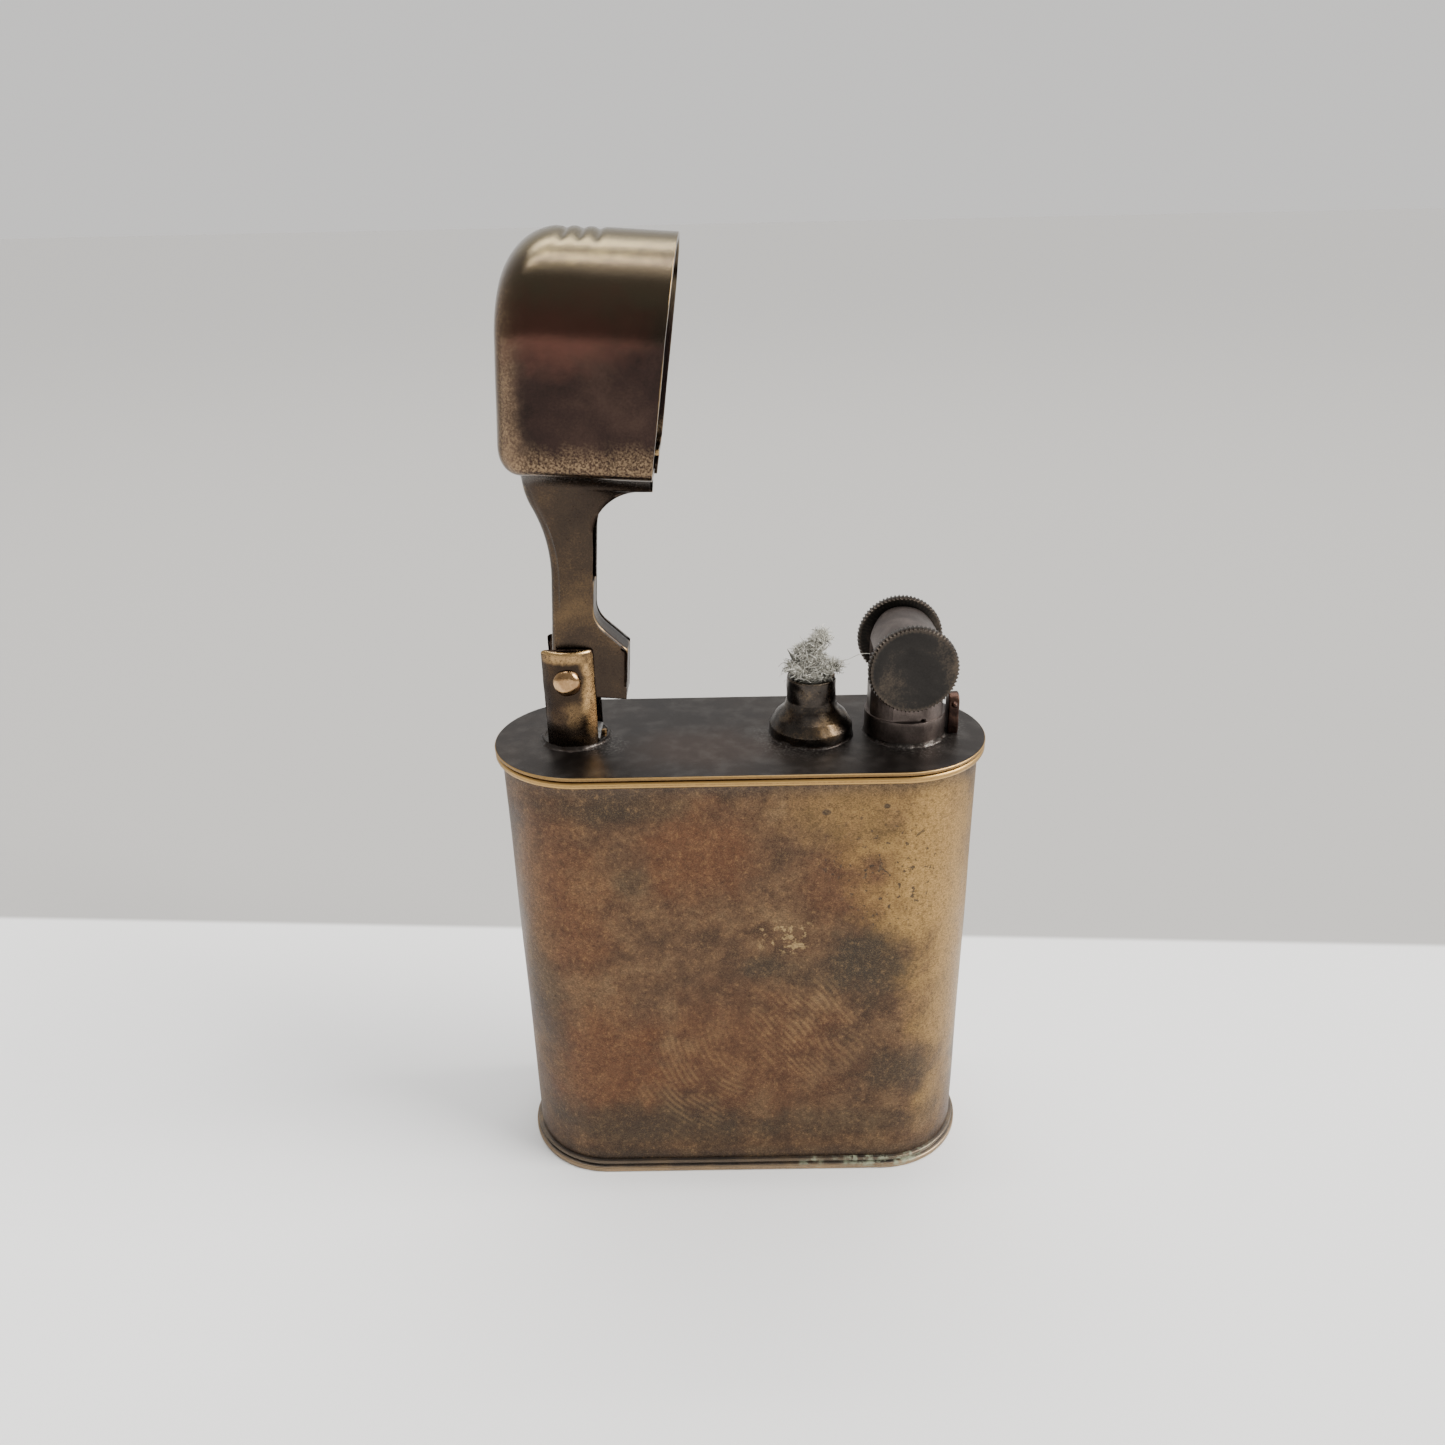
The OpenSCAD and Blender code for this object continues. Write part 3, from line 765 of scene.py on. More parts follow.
LOOKS = {
    "shell": shell_look(),
    "lid": lid_look(),
    "base": base_look(),
    "cap": cap_look(),
    "post": post_look(),
    "holder": holder_look(),
    "cotton": cotton_look(),
    "arm": aged_brass("arm_patina", ((0.026, 0.02, 0.0165), (0.042, 0.03, 0.022), (0.095, 0.062, 0.034)),
                      cloud=0.12, rough=(0.2, 0.32), speck=0.75, rub=(0.45, 0.3, 0.13)).done(),
    "heel": aged_brass("heel_patina", ((0.02, 0.0165, 0.014), (0.034, 0.026, 0.021), (0.07, 0.05, 0.034)),
                       cloud=0.3, rough=(0.26, 0.4), pit_depth=0.02, rub=(0.3, 0.2, 0.1)).done(),
    "pin": aged_brass("pin_patina", ((0.2, 0.115, 0.055), (0.3, 0.18, 0.085), (0.48, 0.31, 0.16)), worn=0.2,
                      cloud=0.8, rough=(0.1, 0.22), speck=0.3).done(),
    "housing": aged_brass("housing_patina", ((0.06, 0.048, 0.043), (0.1, 0.08, 0.072), (0.17, 0.136, 0.12)),
                          worn=0.3, cloud=0.4, rough=(0.32, 0.46), speck=0.25).done(),
    "disc": aged_brass("disc_patina", ((0.021, 0.0195, 0.0185), (0.028, 0.0255, 0.0235), (0.08, 0.063, 0.048)),
                       worn=0.45, cloud=0.3, rough=(0.36, 0.48), speck=0.25).done(),
    "leaf": aged_brass("leaf_patina", ((0.022, 0.014, 0.012), (0.036, 0.021, 0.0175), (0.1, 0.056, 0.042)),
                       worn=0.4, cloud=0.8, rough=(0.3, 0.5), speck=0.4).done(),
    "screw": aged_brass("screw_patina", ((0.16, 0.095, 0.045), (0.34, 0.215, 0.1), (0.62, 0.43, 0.2)), worn=0.7,
                        cloud=0.4, rough=(0.26, 0.42), speck=0.6).done(),
    "steel": plain_look("dull_steel", (0.12, 0.115, 0.11), (0.34, 0.33, 0.32), 1.0, 0.4, 1.2, 0.01),
    "flint": plain_look("flint_rod", (0.06, 0.06, 0.065), (0.16, 0.16, 0.17), 0.6, 0.6, 1.5, 0.03),
    "fibre": plain_look("fibre_washer", (0.14, 0.06, 0.03), (0.3, 0.14, 0.08), 0.0, 0.75, 1.5, 0.04),
}

# ---- Tank ----


def make_tank():
    rays = oval_rays()
    rows = 64
    low, high = shell_low.z, shell_high.z
    outside = [(shell_r, low + (high - low) * i / rows) for i in range(rows + 1)]
    inside = [(shell_r - shell_wall, h) for _, h in reversed(outside[::8])]

    def dents(point):
        span = smooth(point.z, low, low + 4) * smooth(point.z, high, high - 4)
        return span * 0.05 * noise.noise(Vector((point.x, point.y * 0.5, point.z)) * 0.11)

    shell = oval_turned("tank_skin", outside + inside, rays, dents)
    place(shell, "shell", "tank", "tank_shell", "shell_brass")

    lid_outline = fillet([
        (0, 0, 0), (end_r - 1.5, 0, 0), (end_r - 0.45, 0, 0), (end_r - 0.28, 0, 0), (end_r, 0, 0.11),
        (end_r, -0.27, 0.09), (end_r - 0.26, -0.3, 0.04), (end_r - 0.26, -0.4, 0.04),
        (end_r - 0.01, -0.46, 0.2), (end_r - 0.03, -0.96, 0.22), (shell_r - 0.1, -lid_edge, 0.02),
        (shell_r - 1.2, -lid_edge, 0), (shell_r - 1.2, -lid_skin, 0), (0, -lid_skin, 0)], 6)
    lid = oval_turned("lid", [(r, top_z + h) for r, h in lid_outline], rays)
    place(lid, "lid", "tank", "top_plate", "plate_brass")

    base_outline = fillet([
        (0, 0, 0), (end_r - 1.5, 0, 0), (end_r - 0.5, 0, 0), (end_r, 0, 0.16), (end_r, 0.5, 0.14),
        (end_r - 0.36, 0.57, 0.05), (end_r - 0.36, 0.72, 0.05), (end_r - 0.2, 0.76, 0.1), (end_r - 0.24, 1.02, 0.1),
        (shell_r + 0.02, shell_low.z, 0.01), (shell_r - 0.52, shell_low.z, 0), (shell_r - 0.52, base_floor, 0),
        (0, base_floor, 0)], 6)
    base = oval_turned("foot_plate", base_outline, rays)
    for node, depth in (("filler_screw", 4), ("flint_screw", 0.75)):
        head = middle(node)
        radius = box(node)[1].x - head.x + 0.05
        cut(base, revolve("hole", [(0, -1), (radius, -1), (radius, depth), (0, depth)], (head.x, 0, 0)))
    bevel(base, 0.06, 2, 50)
    place(base, "base", "tank", "base_plate", "plate_brass")


def make_solder():
    """Thin dusty fillets where the posts are soldered on the lid."""
    for name, x, radius, spread in (("post_solder", pin.x, post_r, 0.28), ("holder_solder", wick_x, 3.35, 0.14),
                                    ("housing_solder", housing_x, collar_r, 0.18)):
        outline = [(radius - 0.15, -0.02), (radius + spread, -0.02), (radius + spread * 0.45, 0.06),
                   (radius + spread * 0.15, 0.16), (radius + 0.01, 0.32), (radius - 0.15, 0.32)]
        ring = revolve(name, outline, (x, 0, top_z), 120)
        for vertex in ring.data.vertices:
            point = vertex.co / MM
            out = Vector((point.x - x, point.y, 0))
            high = point.z > top_z + 0.2
            if out.length > radius + 0.02 or high:
                shift = noise.noise(point * 1.1) * 0.16 + noise.noise(point * 3.1) * 0.06
                if not high:
                    vertex.co += out.normalized() * min(shift, 0.3) * MM
                vertex.co.z += max(point.z - top_z, 0) * shift * 1.2 * MM
        place(ring, "lid", "tank", None, "dark_brass")


# ---- Hinge, arm and cap ----


def make_hinge():
    height = post_high.z - post_low.z
    outline = fillet([(0, 0, 0), (post_r, 0, 0.05), (post_r, height, 0.28), (0, height, 0)], 6)
    post = revolve("post", outline, (pin.x, 0, top_z), 112)
    cut(post, block("slot", (pin.x - 5, -slot_half, top_z + 0.3), (pin.x + 5, slot_half, top_z + 20)))
    bevel(post, 0.2, 4, 40)
    refine(post, 0.5)
    roughen(post, 0.05, 1.6, 3.0)
    place(post, "post", "tank", "hinge_post", "post_brass")

    dome = pin_end - post_r
    head = [(1.1 * math.cos(t), -dome * math.sin(t) - post_r) for t in quarter(10)]
    outline = [(0, -pin_end)] + head[::-1] + [(pin_r, -post_r)]
    outline += [(r, -h) for r, h in reversed(outline)]
    pivot = revolve("pivot_pin", outline, (pin.x, 0, pin.z), 48, "y", 50)
    roughen(pivot, 0.05, 0.9, 5.0)
    place(pivot, "pin", "tank", "hinge_pin", "pin_brass")

    low, high = box("snap_spring")
    thick = 0.25
    half, rise = (high.x - low.x) / 2, high.z - low.z - thick
    arch = [(t * half, rise * (1 - t * t)) for t in np.linspace(-1, 1, 25)]
    outline = [(a, b + thick) for a, b in arch] + arch[::-1]
    leaf = slab("heel_spring", outline, high.y, lambda a, y, b: (low.x + half + a, y, low.z + b))
    bevel(leaf, 0.05, 2, 50)
    place(leaf, "steel", "tank", "snap_spring", "steel")


def back_at(along):
    """Across position of the arm's back edge: straight, bent out, and back in line under the cap."""
    reach = BEND_R + SETTLE_R
    if along < BEND_Y:
        return BACK_X
    if along < BEND_Y + BEND_R * math.sin(FLARE):
        return BACK_X - BEND_R + math.sqrt(BEND_R ** 2 - (along - BEND_Y) ** 2)
    rise = min(along - BEND_Y - reach * math.sin(FLARE), 0)
    return BACK_X - BEND_R + reach * math.cos(FLARE) - math.sqrt(SETTLE_R ** 2 - rise ** 2)


def front_at(along):
    """Across position of the arm's open edge: heel, bevel, instep, waist and throat."""
    instep_low = INSTEP_Y + INSTEP_R * math.sin(INSTEP_END)
    instep_x = WAIST_X + INSTEP_R + INSTEP_R * math.cos(INSTEP_END)
    if along <= HEEL_HIGH:
        return HEEL_X
    if along < instep_low:
        return HEEL_X + (instep_x - HEEL_X) * (along - HEEL_HIGH) / (instep_low - HEEL_HIGH)
    if along < INSTEP_Y:
        return WAIST_X + INSTEP_R - math.sqrt(INSTEP_R ** 2 - (INSTEP_Y - along) ** 2)
    if along < THROAT_Y:
        return WAIST_X
    if along < THROAT_Y + THROAT_R * 0.985:
        return WAIST_X + THROAT_R - math.sqrt(THROAT_R ** 2 - (along - THROAT_Y) ** 2)
    return mouth_at(along)


def half_at(along):
    """Half the arm's width: parallel, then a long flare and a short cove under the cap."""
    half = ARM_HALF
    if along > FLANK_Y:
        half += FLANK_R - math.sqrt(FLANK_R ** 2 - (along - FLANK_Y) ** 2)
    return half + 1.1 * smooth(along, 14.6, 17.3) ** 2


def make_arm():
    # Stations along the arm, closest where its outline turns
    stations = [HEEL_LOW, HEEL_LOW + 0.12]
    for low, high, count in ((HEEL_LOW + 0.4, HEEL_HIGH - 0.05, 14), (HEEL_HIGH, 3.87, 8), (4.05, INSTEP_Y, 9),
                             (5.9, 11.4, 22), (11.6, 14.9, 24), (15.0, 15.285, 6), (15.36, ARM_END + 0.2, 10)):
        stations += list(np.linspace(low, high, count))
    edge = 0.75
    side_rows = 14
    verts = []
    for u in stations:
        back, front, half = back_at(u), front_at(u), half_at(u)
        across = np.linspace(front, back + edge, side_rows)
        crown = 0.28 * smooth(u, 3.2, 7) * smooth(u, ARM_END, 15)
        left = [(a, -half - crown * (1 - ((2 * a - front - back) / (front - back)) ** 2)) for a in across]
        corner = [(back + edge - edge * math.sin(t), -half + edge - edge * math.cos(t))
                  for t in np.linspace(0.2, math.pi / 2, 7)]
        flat = [(back, y) for y in np.linspace(-half + edge, half - edge, 7)[1:-1]]
        half_ring = left + corner
        ring = half_ring + flat + [(a, -y) for a, y in reversed(half_ring)]
        verts += [arm_point(a, y, u) for a, y in ring]
    arm = finish_mesh("arm", verts, ring_faces(len(stations), len(ring), closed=False), 60)
    thicken(arm, ARM_SHEET, 1.0)
    cut(arm, pin_bore())
    bevel(arm, 0.11, 3, 50)
    refine(arm, 0.6, 2)
    roughen(arm, 0.03, 2.2, 7.0)
    place(arm, "arm", "arm", "lift_arm", "arm_brass")

    inner = ARM_HALF - ARM_SHEET - 0.01
    outline = [(BACK_X + ARM_SHEET + 0.01, HEEL_LOW), (HEEL_X, HEEL_LOW)]
    outline += [(front_at(u), u) for u in [HEEL_HIGH] + list(np.linspace(3.87, 5.6, 10)) + [HEEL_TOP]]
    outline.append((BACK_X + ARM_SHEET + 0.01, HEEL_TOP))
    heel = slab("heel", outline, inner, arm_point)
    cut(heel, pin_bore())
    bevel(heel, 0.12, 3, 30)
    refine(heel, 0.5)
    place(heel, "heel", "arm", "arm_heel", "arm_brass")


def pin_bore():
    return revolve("bore", [(0, -6), (pin_r + 0.05, -6), (pin_r + 0.05, 6), (0, 6)], (pin.x, 0, pin.z), 40, "y")


def cap_outline():
    """Outer and inner points (y, along) round the cap, with the edge radius at each."""
    low = ARM_END + CAP_CORNER
    inner_low = ARM_END + CAP_FOOT + 0.5
    inner_half = CAP_HALF - CAP_EDGE
    tip = []
    for a in np.linspace(0, math.pi, 73):
        radius = CAP_EDGE + (CAP_CROWN - CAP_EDGE) * math.sin(a) ** 1.5
        reach = CAP_HALF - radius
        tip.append(((CAP_HALF * math.cos(a), TIP_Y + CAP_HALF * math.sin(a)),
                    (reach * math.cos(a), TIP_Y + reach * math.sin(a)), radius))
    left = []
    for i in range(1, 26):
        t = i / 26
        left.append(((-CAP_HALF, TIP_Y + (low - TIP_Y) * t), (-inner_half, TIP_Y + (inner_low - TIP_Y) * t), CAP_EDGE))
    for t in np.linspace(0, 1, 9):
        c, s = math.cos(math.pi / 2 * t), math.sin(math.pi / 2 * t)
        radius = CAP_EDGE + (CAP_FOOT - CAP_EDGE) * smooth(t, 0, 1)
        left.append(((-CAP_HALF + CAP_CORNER * (1 - c), low - CAP_CORNER * s),
                     (-inner_half + 0.5 * (1 - c), inner_low - 0.5 * s), radius))
    foot = []
    for i in range(1, 30):
        t = 2 * i / 30 - 1
        foot.append((((CAP_HALF - CAP_CORNER) * t, ARM_END), ((inner_half - 0.5) * t, ARM_END + CAP_FOOT), CAP_FOOT))
    right = [((-outer[0], outer[1]), (-inner[0], inner[1]), radius) for outer, inner, radius in reversed(left)]
    return tip + left + foot + right


def cap_rings(pairs):
    """Rings of points (y, along, across): the flat back, the rounded edge and the wall to the mouth."""
    rings = []
    for k in range(7):
        t = k / 7
        ring = []
        for _, inner, _ in pairs:
            spine = min(max(inner[1], ARM_END + 6), CAP_TIP - 9)
            ring.append((inner[0] * t, spine + (inner[1] - spine) * t, CAP_BACK))
        rings.append(ring)
    for k in range(14):
        a = math.pi / 2 * k / 14
        rings.append([(inner[0] + (outer[0] - inner[0]) * math.sin(a), inner[1] + (outer[1] - inner[1]) * math.sin(a),
                       CAP_BACK + radius * (1 - math.cos(a))) for outer, inner, radius in pairs])
    for k in range(73):
        t = k / 72
        rings.append([(*outer, (CAP_BACK + radius) * (1 - t) + mouth_at(outer[1]) * t) for outer, _, radius in pairs])
    return rings


def groove_depth(y, along, across):
    """Three shallow grip grooves round the tip."""
    angle = math.degrees(math.atan2(abs(y), along - TIP_Y))
    if angle > 40:
        return 0.0
    depth = sum(math.exp(-((across - (-0.15 + 1.14 * i)) / 0.26) ** 2) for i in range(3))
    return 0.16 * depth * (1 - smooth(angle, 14, 34))


def make_cap():
    pairs = cap_outline()
    rings = cap_rings(pairs)
    verts = []
    for y, along, across in (point for ring in rings for point in ring):
        depth = groove_depth(y, along, across)
        out = Vector((y, along - TIP_Y))
        if depth > 0.001:
            out = out.normalized() * (out.length - depth)
        verts.append(arm_point(across, out.x, TIP_Y + out.y))
    cap = finish_mesh("cap_hood", verts, ring_faces(len(rings), len(pairs)), 60)
    thicken(cap, CAP_SHEET)
    low, high, start = ARM_END - 2, ARM_END + 1, CAP_BACK + 1.8
    cut(cap, slab("window", [(start, low), (12, low), (12, high), (start, high)], 3.3, arm_point))
    bevel(cap, 0.09, 3, 55)
    roughen(cap, 0.03, 3.5, 11.0)
    place(cap, "cap", "arm", "snuffer_cap", "cap_brass")


# ---- Wick ----


def make_wick_holder():
    height = holder_top - top_z
    outline = fillet([
        (wick_r + 0.06, -2, 0), (2.2, -2, 0), (2.2, 0, 0), (3.2, 0, 0.04), (3.36, 0.25, 0.15), (3.36, 0.95, 0.3),
        (2.9, 1.75, 0.5), (2.15, 2.45, 0.6), (1.98, 3.1, 0.5), (1.98, height, 0.1), (wick_r + 0.06, height, 0.08)], 6)
    holder = revolve("nozzle", outline, (wick_x, 0, top_z), 112)
    cut(holder, block("notch", (wick_x + 0.9, -0.45, top_z + 2.7), (wick_x + 5, 0.45, top_z + 12)))
    bevel(holder, 0.07, 3, 45)
    refine(holder, 0.4)
    roughen(holder, 0.05, 0.8, 13.0)
    place(holder, "holder", "tank", "wick_holder", "dark_brass")


def tube(points, radii, sides=4):
    """A thin fibre through points, closed at both ends."""
    verts = []
    for i, point in enumerate(points):
        ahead = points[min(i + 1, len(points) - 1)] - points[max(i - 1, 0)]
        side = ahead.cross(Vector((0.3, 0.5, 0.81))).normalized()
        up = ahead.cross(side).normalized()
        for k in range(sides):
            a = 2 * math.pi * k / sides
            verts.append(point + (side * math.cos(a) + up * math.sin(a)) * radii[i])
    ends = [tuple(range(sides)), tuple(range(len(verts) - 1, len(verts) - sides - 1, -1))]
    return verts, ring_faces(len(points), sides) + ends


def ball_point(a, b):
    """Point of a unit ball at an angle a round it and b down from its top."""
    return Vector((math.sin(b) * math.cos(a), math.sin(b) * math.sin(a), math.cos(b)))


def scaled(point, factors):
    return Vector([a * b for a, b in zip(point, factors)])


def wool(centre, radii, seed, tint, rows=14, columns=20):
    """Points and tints of one lumpy, closed ball of wool."""
    points, tints = [], []
    for i in range(rows + 1):
        for j in range(columns):
            d = ball_point(2 * math.pi * j / columns, math.pi * i / rows)
            coarse = noise.noise(d * 2.2 + Vector((seed, 0, 0)))
            swell = 1 + 0.32 * coarse + 0.16 * noise.noise(d * 6 + Vector((0, seed, 0)))
            points.append(centre + scaled(d, radii) * swell)
            tints.append(tint + 0.25 * noise.noise(d * 5 + Vector((seed, seed, 0))))
    return points, tints, ring_faces(rows + 1, columns)


def scatter(rand, low, high):
    """A random vector between two corners."""
    return Vector([rand.uniform(a, b) for a, b in zip(low, high)])


def curled(rand, start, heading):
    """Points of a short fibre that curls as it grows."""
    step = rand.uniform(0.07, 0.13)
    heading = (heading + scatter(rand, (-0.9, -0.9, -0.3), (0.9, 0.9, 0.9))).normalized()
    curl = scatter(rand, (-1, -1, -1), (1, 1, 1)) * 0.55
    points = [start]
    for _ in range(rand.randint(5, 9)):
        sway = scatter(rand, (-0.25, -0.25, -0.2), (0.25, 0.25, 0.25))
        heading = (heading + curl.cross(heading) * 0.6 + sway).normalized()
        points.append(points[-1] + heading * step)
    return points


def wisp(rand, rim, top):
    """Points of a long fibre that stands up out of the wool."""
    lean = Vector((rand.uniform(0.0, 0.5), rand.uniform(-0.3, 0.3), 1)).normalized()
    start = rim + scatter(rand, (0.1, -0.4, 2.4), (0.9, 0.5, 3.1))
    points = []
    for k in range(9):
        sway = Vector((noise.noise(start * 3 + Vector((k, 0, 0))), noise.noise(start * 3 + Vector((0, k, 0))), 0))
        point = start + lean * 0.14 * k + sway * 0.07
        point.z = min(point.z, top)
        points.append(point)
    return points


def make_fray():
    """The burnt, teased-out end of the wick: a woolly core, many curled fibres and one loose thread."""
    rand = random.Random(21)
    rim = Vector((wick_x, 0, holder_top))
    verts, faces, tints = [], [], []

    def add(points, point_tints, quads):
        first = len(verts)
        verts.extend(points)
        tints.extend(point_tints)
        faces.extend(tuple(first + i for i in quad) for quad in quads)

    def add_fibre(points, radii, tint, sides=4):
        new, quads = tube(points, radii, sides)
        add(new, [tint] * len(new), quads)

    lumps = [((0, 0, 0.2), (1.5, 1.5, 0.6), 0.4), ((-1.0, -0.3, 0.75), (1.0, 1.1, 0.5), 0.42),
             ((1.25, -0.2, 0.7), (1.0, 1.0, 0.5), 0.45), ((0.0, 0.1, 1.4), (1.0, 0.9, 0.7), 0.5),
             ((0.3, 0.1, 2.3), (0.75, 0.6, 0.7), 0.42), ((-0.85, 0.0, 1.8), (0.5, 0.4, 0.7), 0.32),
             ((0.72, 0.2, 3.0), (0.45, 0.4, 0.5), 0.42)]
    for i, (centre, radii, tint) in enumerate(lumps):
        add(*wool(rim + Vector(centre), Vector(radii) * 0.82, i * 3.7, tint))
    for _ in range(1500):
        centre, radii, tint = rand.choice(lumps)
        d = ball_point(rand.uniform(0, 2 * math.pi), math.acos(rand.uniform(-0.35, 1)))
        start = rim + Vector(centre) + scaled(d, radii) * rand.uniform(0.75, 1.0)
        if start.z < rim.z + 0.05:
            continue
        points = curled(rand, start, d)
        width = rand.uniform(0.02, 0.042)
        widths = [width * (1 - 0.6 * k / len(points)) for k in range(len(points))]
        add_fibre(points, widths, min(max(rand.gauss(0.6, 0.3), 0.0), 1.0))
    for _ in range(26):
        points = wisp(rand, rim, rim.z + 4.1)
        add_fibre(points, [0.045 * (1 - 0.07 * k) for k in range(9)], rand.uniform(0.4, 0.9))
    thorn = [rim + Vector((-1.35 - 0.1 * k, -0.5, 1.45 + 0.17 * k)) for k in range(7)]
    add_fibre(thorn, [0.13, 0.15, 0.13, 0.1, 0.07, 0.045, 0.02], 0.02, 6)
    loose = [Vector((0.9 + 0.33 * k, -0.6 - 0.03 * k, 1.25 + 0.085 * k + 0.12 * math.sin(k * 0.9))) for k in range(12)]
    add_fibre([rim + point for point in loose], [0.026] * 12, 0.75)
    fray = finish_mesh("wick_fray", verts, faces, 180, weld=False)
    fray.data.attributes.new("tint", "FLOAT", "POINT").data.foreach_set("value", tints)
    place(fray, "cotton", "tank", "wick_tuft", "cotton")


# ---- Striker ----


def make_housing():
    housing = copy_node("wheel_housing", "wheel_box")
    bevel(housing, 0.1, 3, 40)
    refine(housing, 0.4)
    roughen(housing, 0.02, 1.5, 17.0)
    place(housing, "housing", "tank", "wheel_housing", "dark_brass")


def make_disc(name, side, node):
    """Knurled thumb disc: fine rounded teeth, a chamfer and a shallow dish on its outer face."""
    teeth, per_tooth = 66, 6
    steps = teeth * per_tooth
    inner, outer = cheek_y + 0.4, disc_high.y
    rows = [(0.0, inner - 0.3), (1.3, inner - 0.3), (1.3, inner), (disc_r - 0.28, inner), (disc_r - 0.12, inner),
            (disc_r, inner + 0.12), (disc_r, (inner + outer) / 2), (disc_r, outer - 0.14), (disc_r - 0.14, outer),
            (disc_r - 0.3, outer), (disc_r - 0.55, outer - 0.05), (disc_r - 0.8, outer - 0.06),
            (2.0, outer - 0.07), (1.0, outer - 0.07), (0.0, outer - 0.07)]
    verts = []
    for r, y in rows:
        bite = 0.15 * smooth(r, disc_r - 0.26, disc_r - 0.02)
        for i in range(steps):
            a = 2 * math.pi * i / steps
            wave = 0.5 - 0.5 * math.cos(2 * math.pi * i / per_tooth)
            reach = r - bite * wave ** 0.8
            verts.append((axle.x + reach * math.cos(a), side * y, axle.z + reach * math.sin(a)))
    disc = finish_mesh(name, verts, ring_faces(len(rows), steps), 50)
    place(disc, "disc", "wheel", node, "disc_brass")


def make_file_wheel():
    teeth, bite = 26, 0.24
    low, high = box("file_wheel")
    radius = (high.z - low.z) / 2
    outline = []
    for i in range(teeth):
        for r, turn in ((radius, i), (radius - bite, i + 0.75)):
            a = 2 * math.pi * turn / teeth
            outline.append((r * math.cos(a), r * math.sin(a)))
    wheel = slab("file", outline, high.y, lambda a, y, b: (axle.x + a, y, axle.z + b))
    bevel(wheel, 0.03, 1, 30)
    place(wheel, "steel", "wheel", "file_wheel", "steel")


def make_leaf():
    """Upright leaf beside the housing, rounded at the top, with its rivet head."""
    low, high = box("retaining_leaf")
    width = (high.y - low.y) / 2
    centre_x = (low.x + high.x) / 2
    straight = high.z - low.z - width
    outline = [(-width, 0), (width, 0)]
    outline += [(width * math.cos(a), straight + width * math.sin(a)) for a in np.linspace(0, math.pi, 17)]
    half = (high.x - low.x) / 2
    leaf = slab("side_leaf", outline, half, lambda a, x, b: (centre_x + x, a, low.z + b))
    bevel(leaf, 0.12, 3, 50)
    refine(leaf, 0.35)
    roughen(leaf, 0.04, 0.9, 19.0)
    place(leaf, "leaf", "tank", "retaining_leaf", "dark_brass")
    low, high = box("leaf_rivet")
    bead = middle("leaf_rivet")
    r, reach = (high.x - low.x) / 2, high.y - low.y
    dome = [(r * math.cos(t), high.y - reach * math.sin(t)) for t in quarter(9)]
    knob = revolve("leaf_bead", [(0, high.y)] + dome + [(0, low.y)], (bead.x, 0, bead.z), 28, "y", 60)
    place(knob, "leaf", "tank", "leaf_rivet", "dark_brass")


def make_flint_spring():
    """A real coil for the spring that pushes the flint up."""
    wire, turns, per_turn = 0.16, 22, 20
    centre = middle("flint_spring")
    low, high = box("flint_spring")
    radius = (high.x - low.x) / 2 - wire
    foot, length = low.z + wire, high.z - low.z - 2 * wire
    points = []
    for t in np.linspace(0, 1, turns * per_turn + 1):
        a = 2 * math.pi * turns * t
        points.append(Vector((centre.x + radius * math.cos(a), radius * math.sin(a), foot + length * t)))
    verts, faces = tube(points, [wire] * len(points), 8)
    coil = finish_mesh("flint_coil", verts, faces, 60)
    place(coil, "steel", "flint_plug", "flint_spring", "steel")


def dress_inner_nodes():
    """CAD nodes whose shape is kept get a material and sharp edges by angle; three of them also get a small bevel."""
    kept = {"spring_rivet": "screw", "wick": "cotton", "cotton_wadding": "cotton", "flint_tube": "screw",
            "wheel_axle": "steel", "flint": "flint", "flint_follower": "screw", "flint_screw": "screw",
            "filler_boss": "screw", "filler_screw": "screw", "filler_gasket": "fibre"}
    for node, look in kept.items():
        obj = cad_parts[node]
        dress(obj, look)
        obj.data.set_sharp_from_angle(angle=math.radians(35))
        if node in ("flint_screw", "filler_screw", "wheel_axle"):
            add_bevel(obj, 0.07, 2, 50)


# ---- Stage ----


def make_stage():
    """A pale floor, greyer behind the lighter, under a soft sky, two broad lamps and two strips."""
    size = 6.0
    mesh = bpy.data.meshes.new("floor")
    mesh.from_pydata([(-size, -size, 0), (size, -size, 0), (size, size, 0), (-size, size, 0)], [], [(0, 1, 2, 3)])
    floor = add_object("floor", mesh)
    look = Look("pale_floor", 0.0)
    far = (look.axis(1) + look.axis(0) * 0.062).band(28.6, 29.8)
    soil = look.noise(0.02, 3).swing(0.06) + 0.5
    look.base = look.mix(far, look.mix(soil, (0.74, 0.74, 0.74), (0.8, 0.8, 0.8)), (0.366, 0.359, 0.349))
    look.rough(0.8)
    look.shader.inputs["Specular IOR Level"].default_value = 0.1
    floor.data.materials.append(look.done())
    make_sky()
    origin = Vector((0, 0, 0))
    for name, spot, power, spread, tint in (("key", (0.9, -0.2, 0.62), 5.8, 34, (1, 0.975, 0.94)),
                                            ("top", (0.1, 0.25, 1), 1.7, 60, (0.96, 0.98, 1))):
        lamp = aim_light(name, "SUN", spot, origin, power, tint)
        lamp.angle = math.radians(spread)
    for name, spot, power in (("strip_over", (0, 0.02, 0.62), 1.3), ("strip_behind", (0, 0.27, 0.56), 1.0)):
        strip = aim_light(name, "AREA", spot, Vector((0, 0, 0.06)), power, (1, 0.97, 0.92))
        strip.shape = "RECTANGLE"
        strip.size = 0.5
        strip.size_y = 0.025


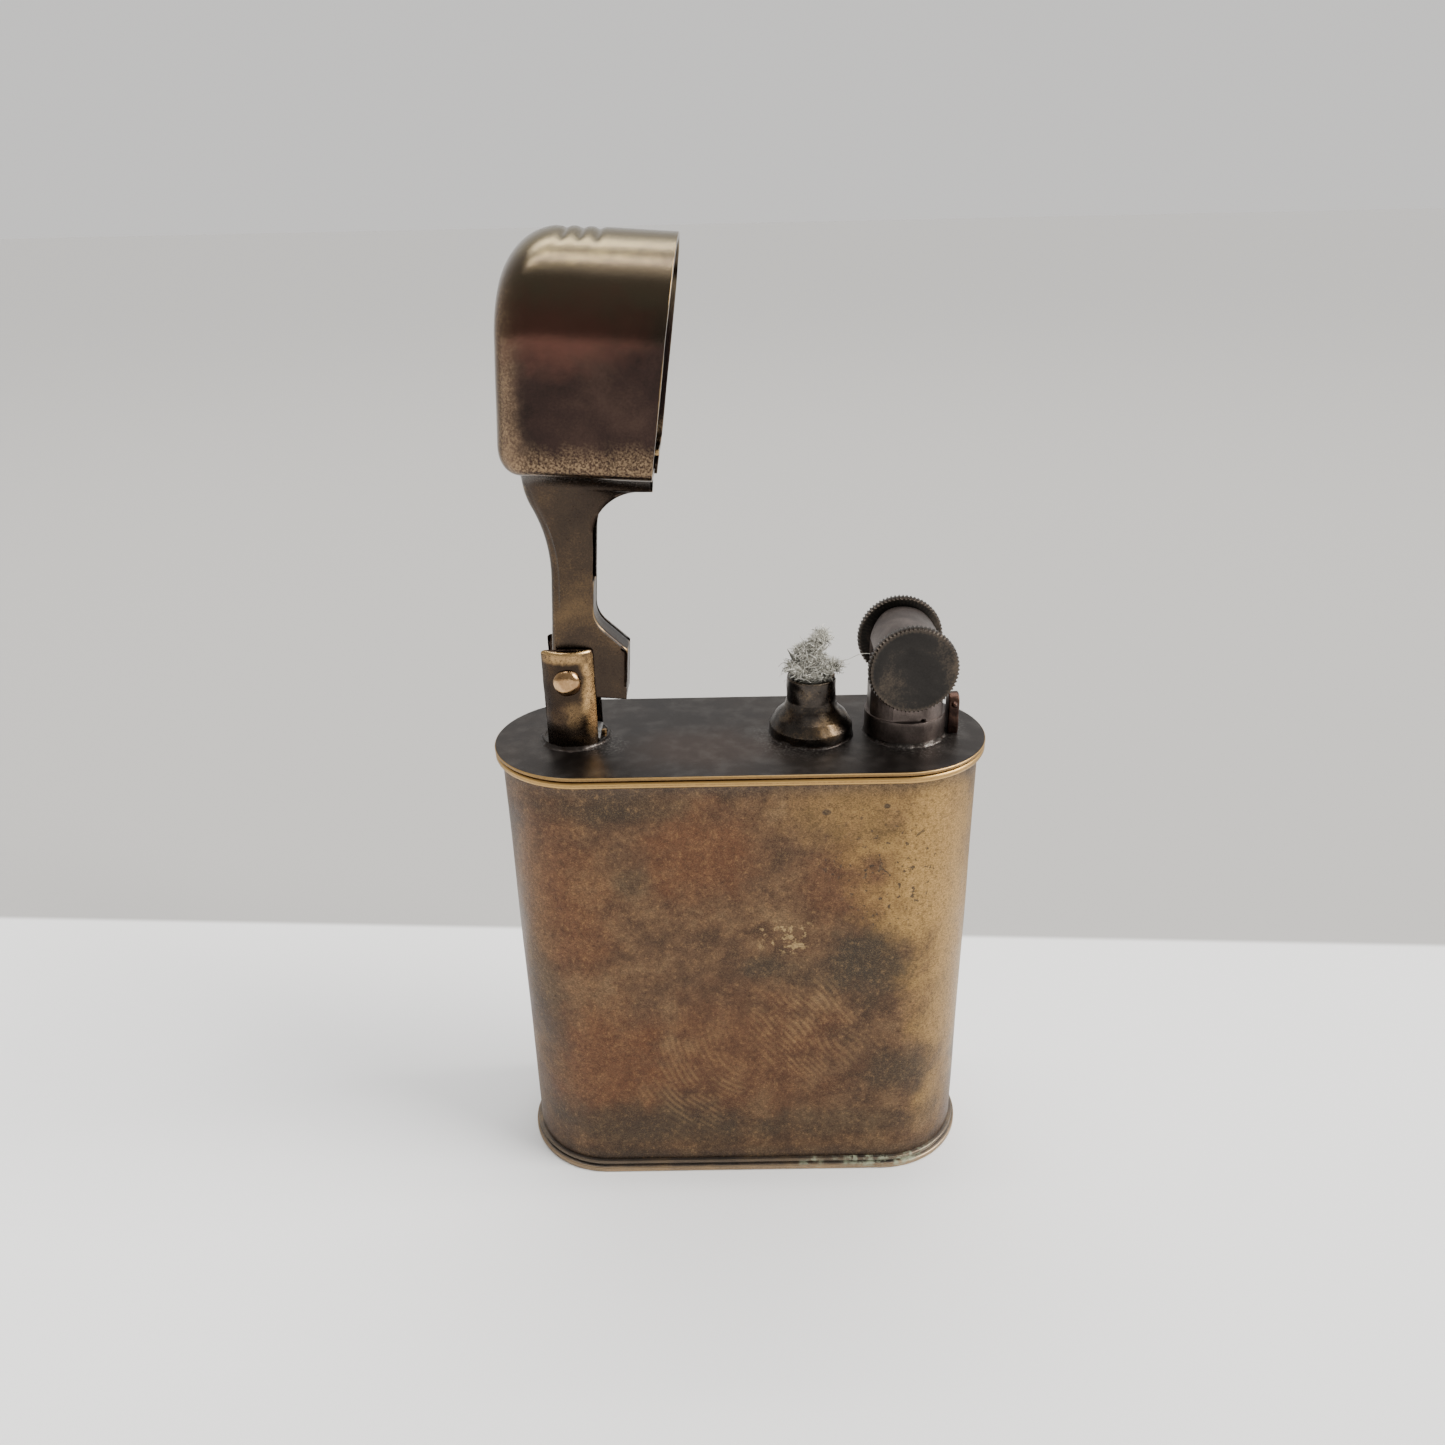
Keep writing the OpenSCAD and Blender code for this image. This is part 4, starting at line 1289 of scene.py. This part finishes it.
def make_sky():
    """A sky that brightens from the front to the back and a little to the right."""
    world = bpy.data.worlds.new("studio")
    world.use_nodes = True
    tree = world.node_tree
    background = tree.nodes["Background"]
    background.inputs["Color"].default_value = (1.0, 0.985, 0.965, 1)
    direction = tree.nodes.new("ShaderNodeTexCoord")
    parts = tree.nodes.new("ShaderNodeSeparateXYZ")
    lean = tree.nodes.new("ShaderNodeMath")
    lean.operation = "MULTIPLY_ADD"
    lean.inputs[1].default_value = 0.28
    depth = tree.nodes.new("ShaderNodeMapRange")
    for name, value in (("From Min", -0.8), ("From Max", 0.7), ("To Min", 0.5), ("To Max", 0.86)):
        depth.inputs[name].default_value = value
    tree.links.new(direction.outputs["Generated"], parts.inputs[0])
    tree.links.new(parts.outputs["X"], lean.inputs[0])
    tree.links.new(parts.outputs["Y"], lean.inputs[2])
    tree.links.new(lean.outputs[0], depth.inputs["Value"])
    tree.links.new(depth.outputs["Result"], background.inputs["Strength"])
    bpy.context.scene.world = world


def aim_light(name, kind, spot, target, power, tint):
    data = bpy.data.lights.new(name, kind)
    data.energy = power
    data.color = tint
    light = add_object(name, data)
    light.location = spot
    light.rotation_euler = (target - Vector(spot)).to_track_quat("-Z", "Y").to_euler()
    return data


def make_camera():
    """A phone held in front of the lighter and above it."""
    yaw, pitch, roll = math.radians(0.45), math.radians(24.623), math.radians(-1.235)
    forward = Vector((-math.sin(yaw) * math.cos(pitch), math.cos(yaw) * math.cos(pitch), -math.sin(pitch)))
    level = Vector((math.cos(yaw), math.sin(yaw), 0))
    upright = level.cross(forward)
    right = math.cos(roll) * level + math.sin(roll) * upright
    up = -math.sin(roll) * level + math.cos(roll) * upright
    data = bpy.data.cameras.new("camera")
    data.sensor_width = 36
    data.lens = 28.08
    data.clip_start = 0.005
    camera = add_object("camera", data)
    turn = Matrix((right, up, -forward)).transposed().to_4x4()
    camera.matrix_world = Matrix.Translation((-0.00071, -0.08367, 0.07955)) @ turn
    bpy.context.scene.camera = camera


make_camera()
make_stage()
make_tank()
make_solder()
make_hinge()
make_arm()
make_cap()
make_wick_holder()
make_fray()
make_housing()
make_disc("disc_front", -1, "thumb_disc_front")
make_disc("disc_rear", 1, "thumb_disc_rear")
make_file_wheel()
make_leaf()
make_flint_spring()
dress_inner_nodes()
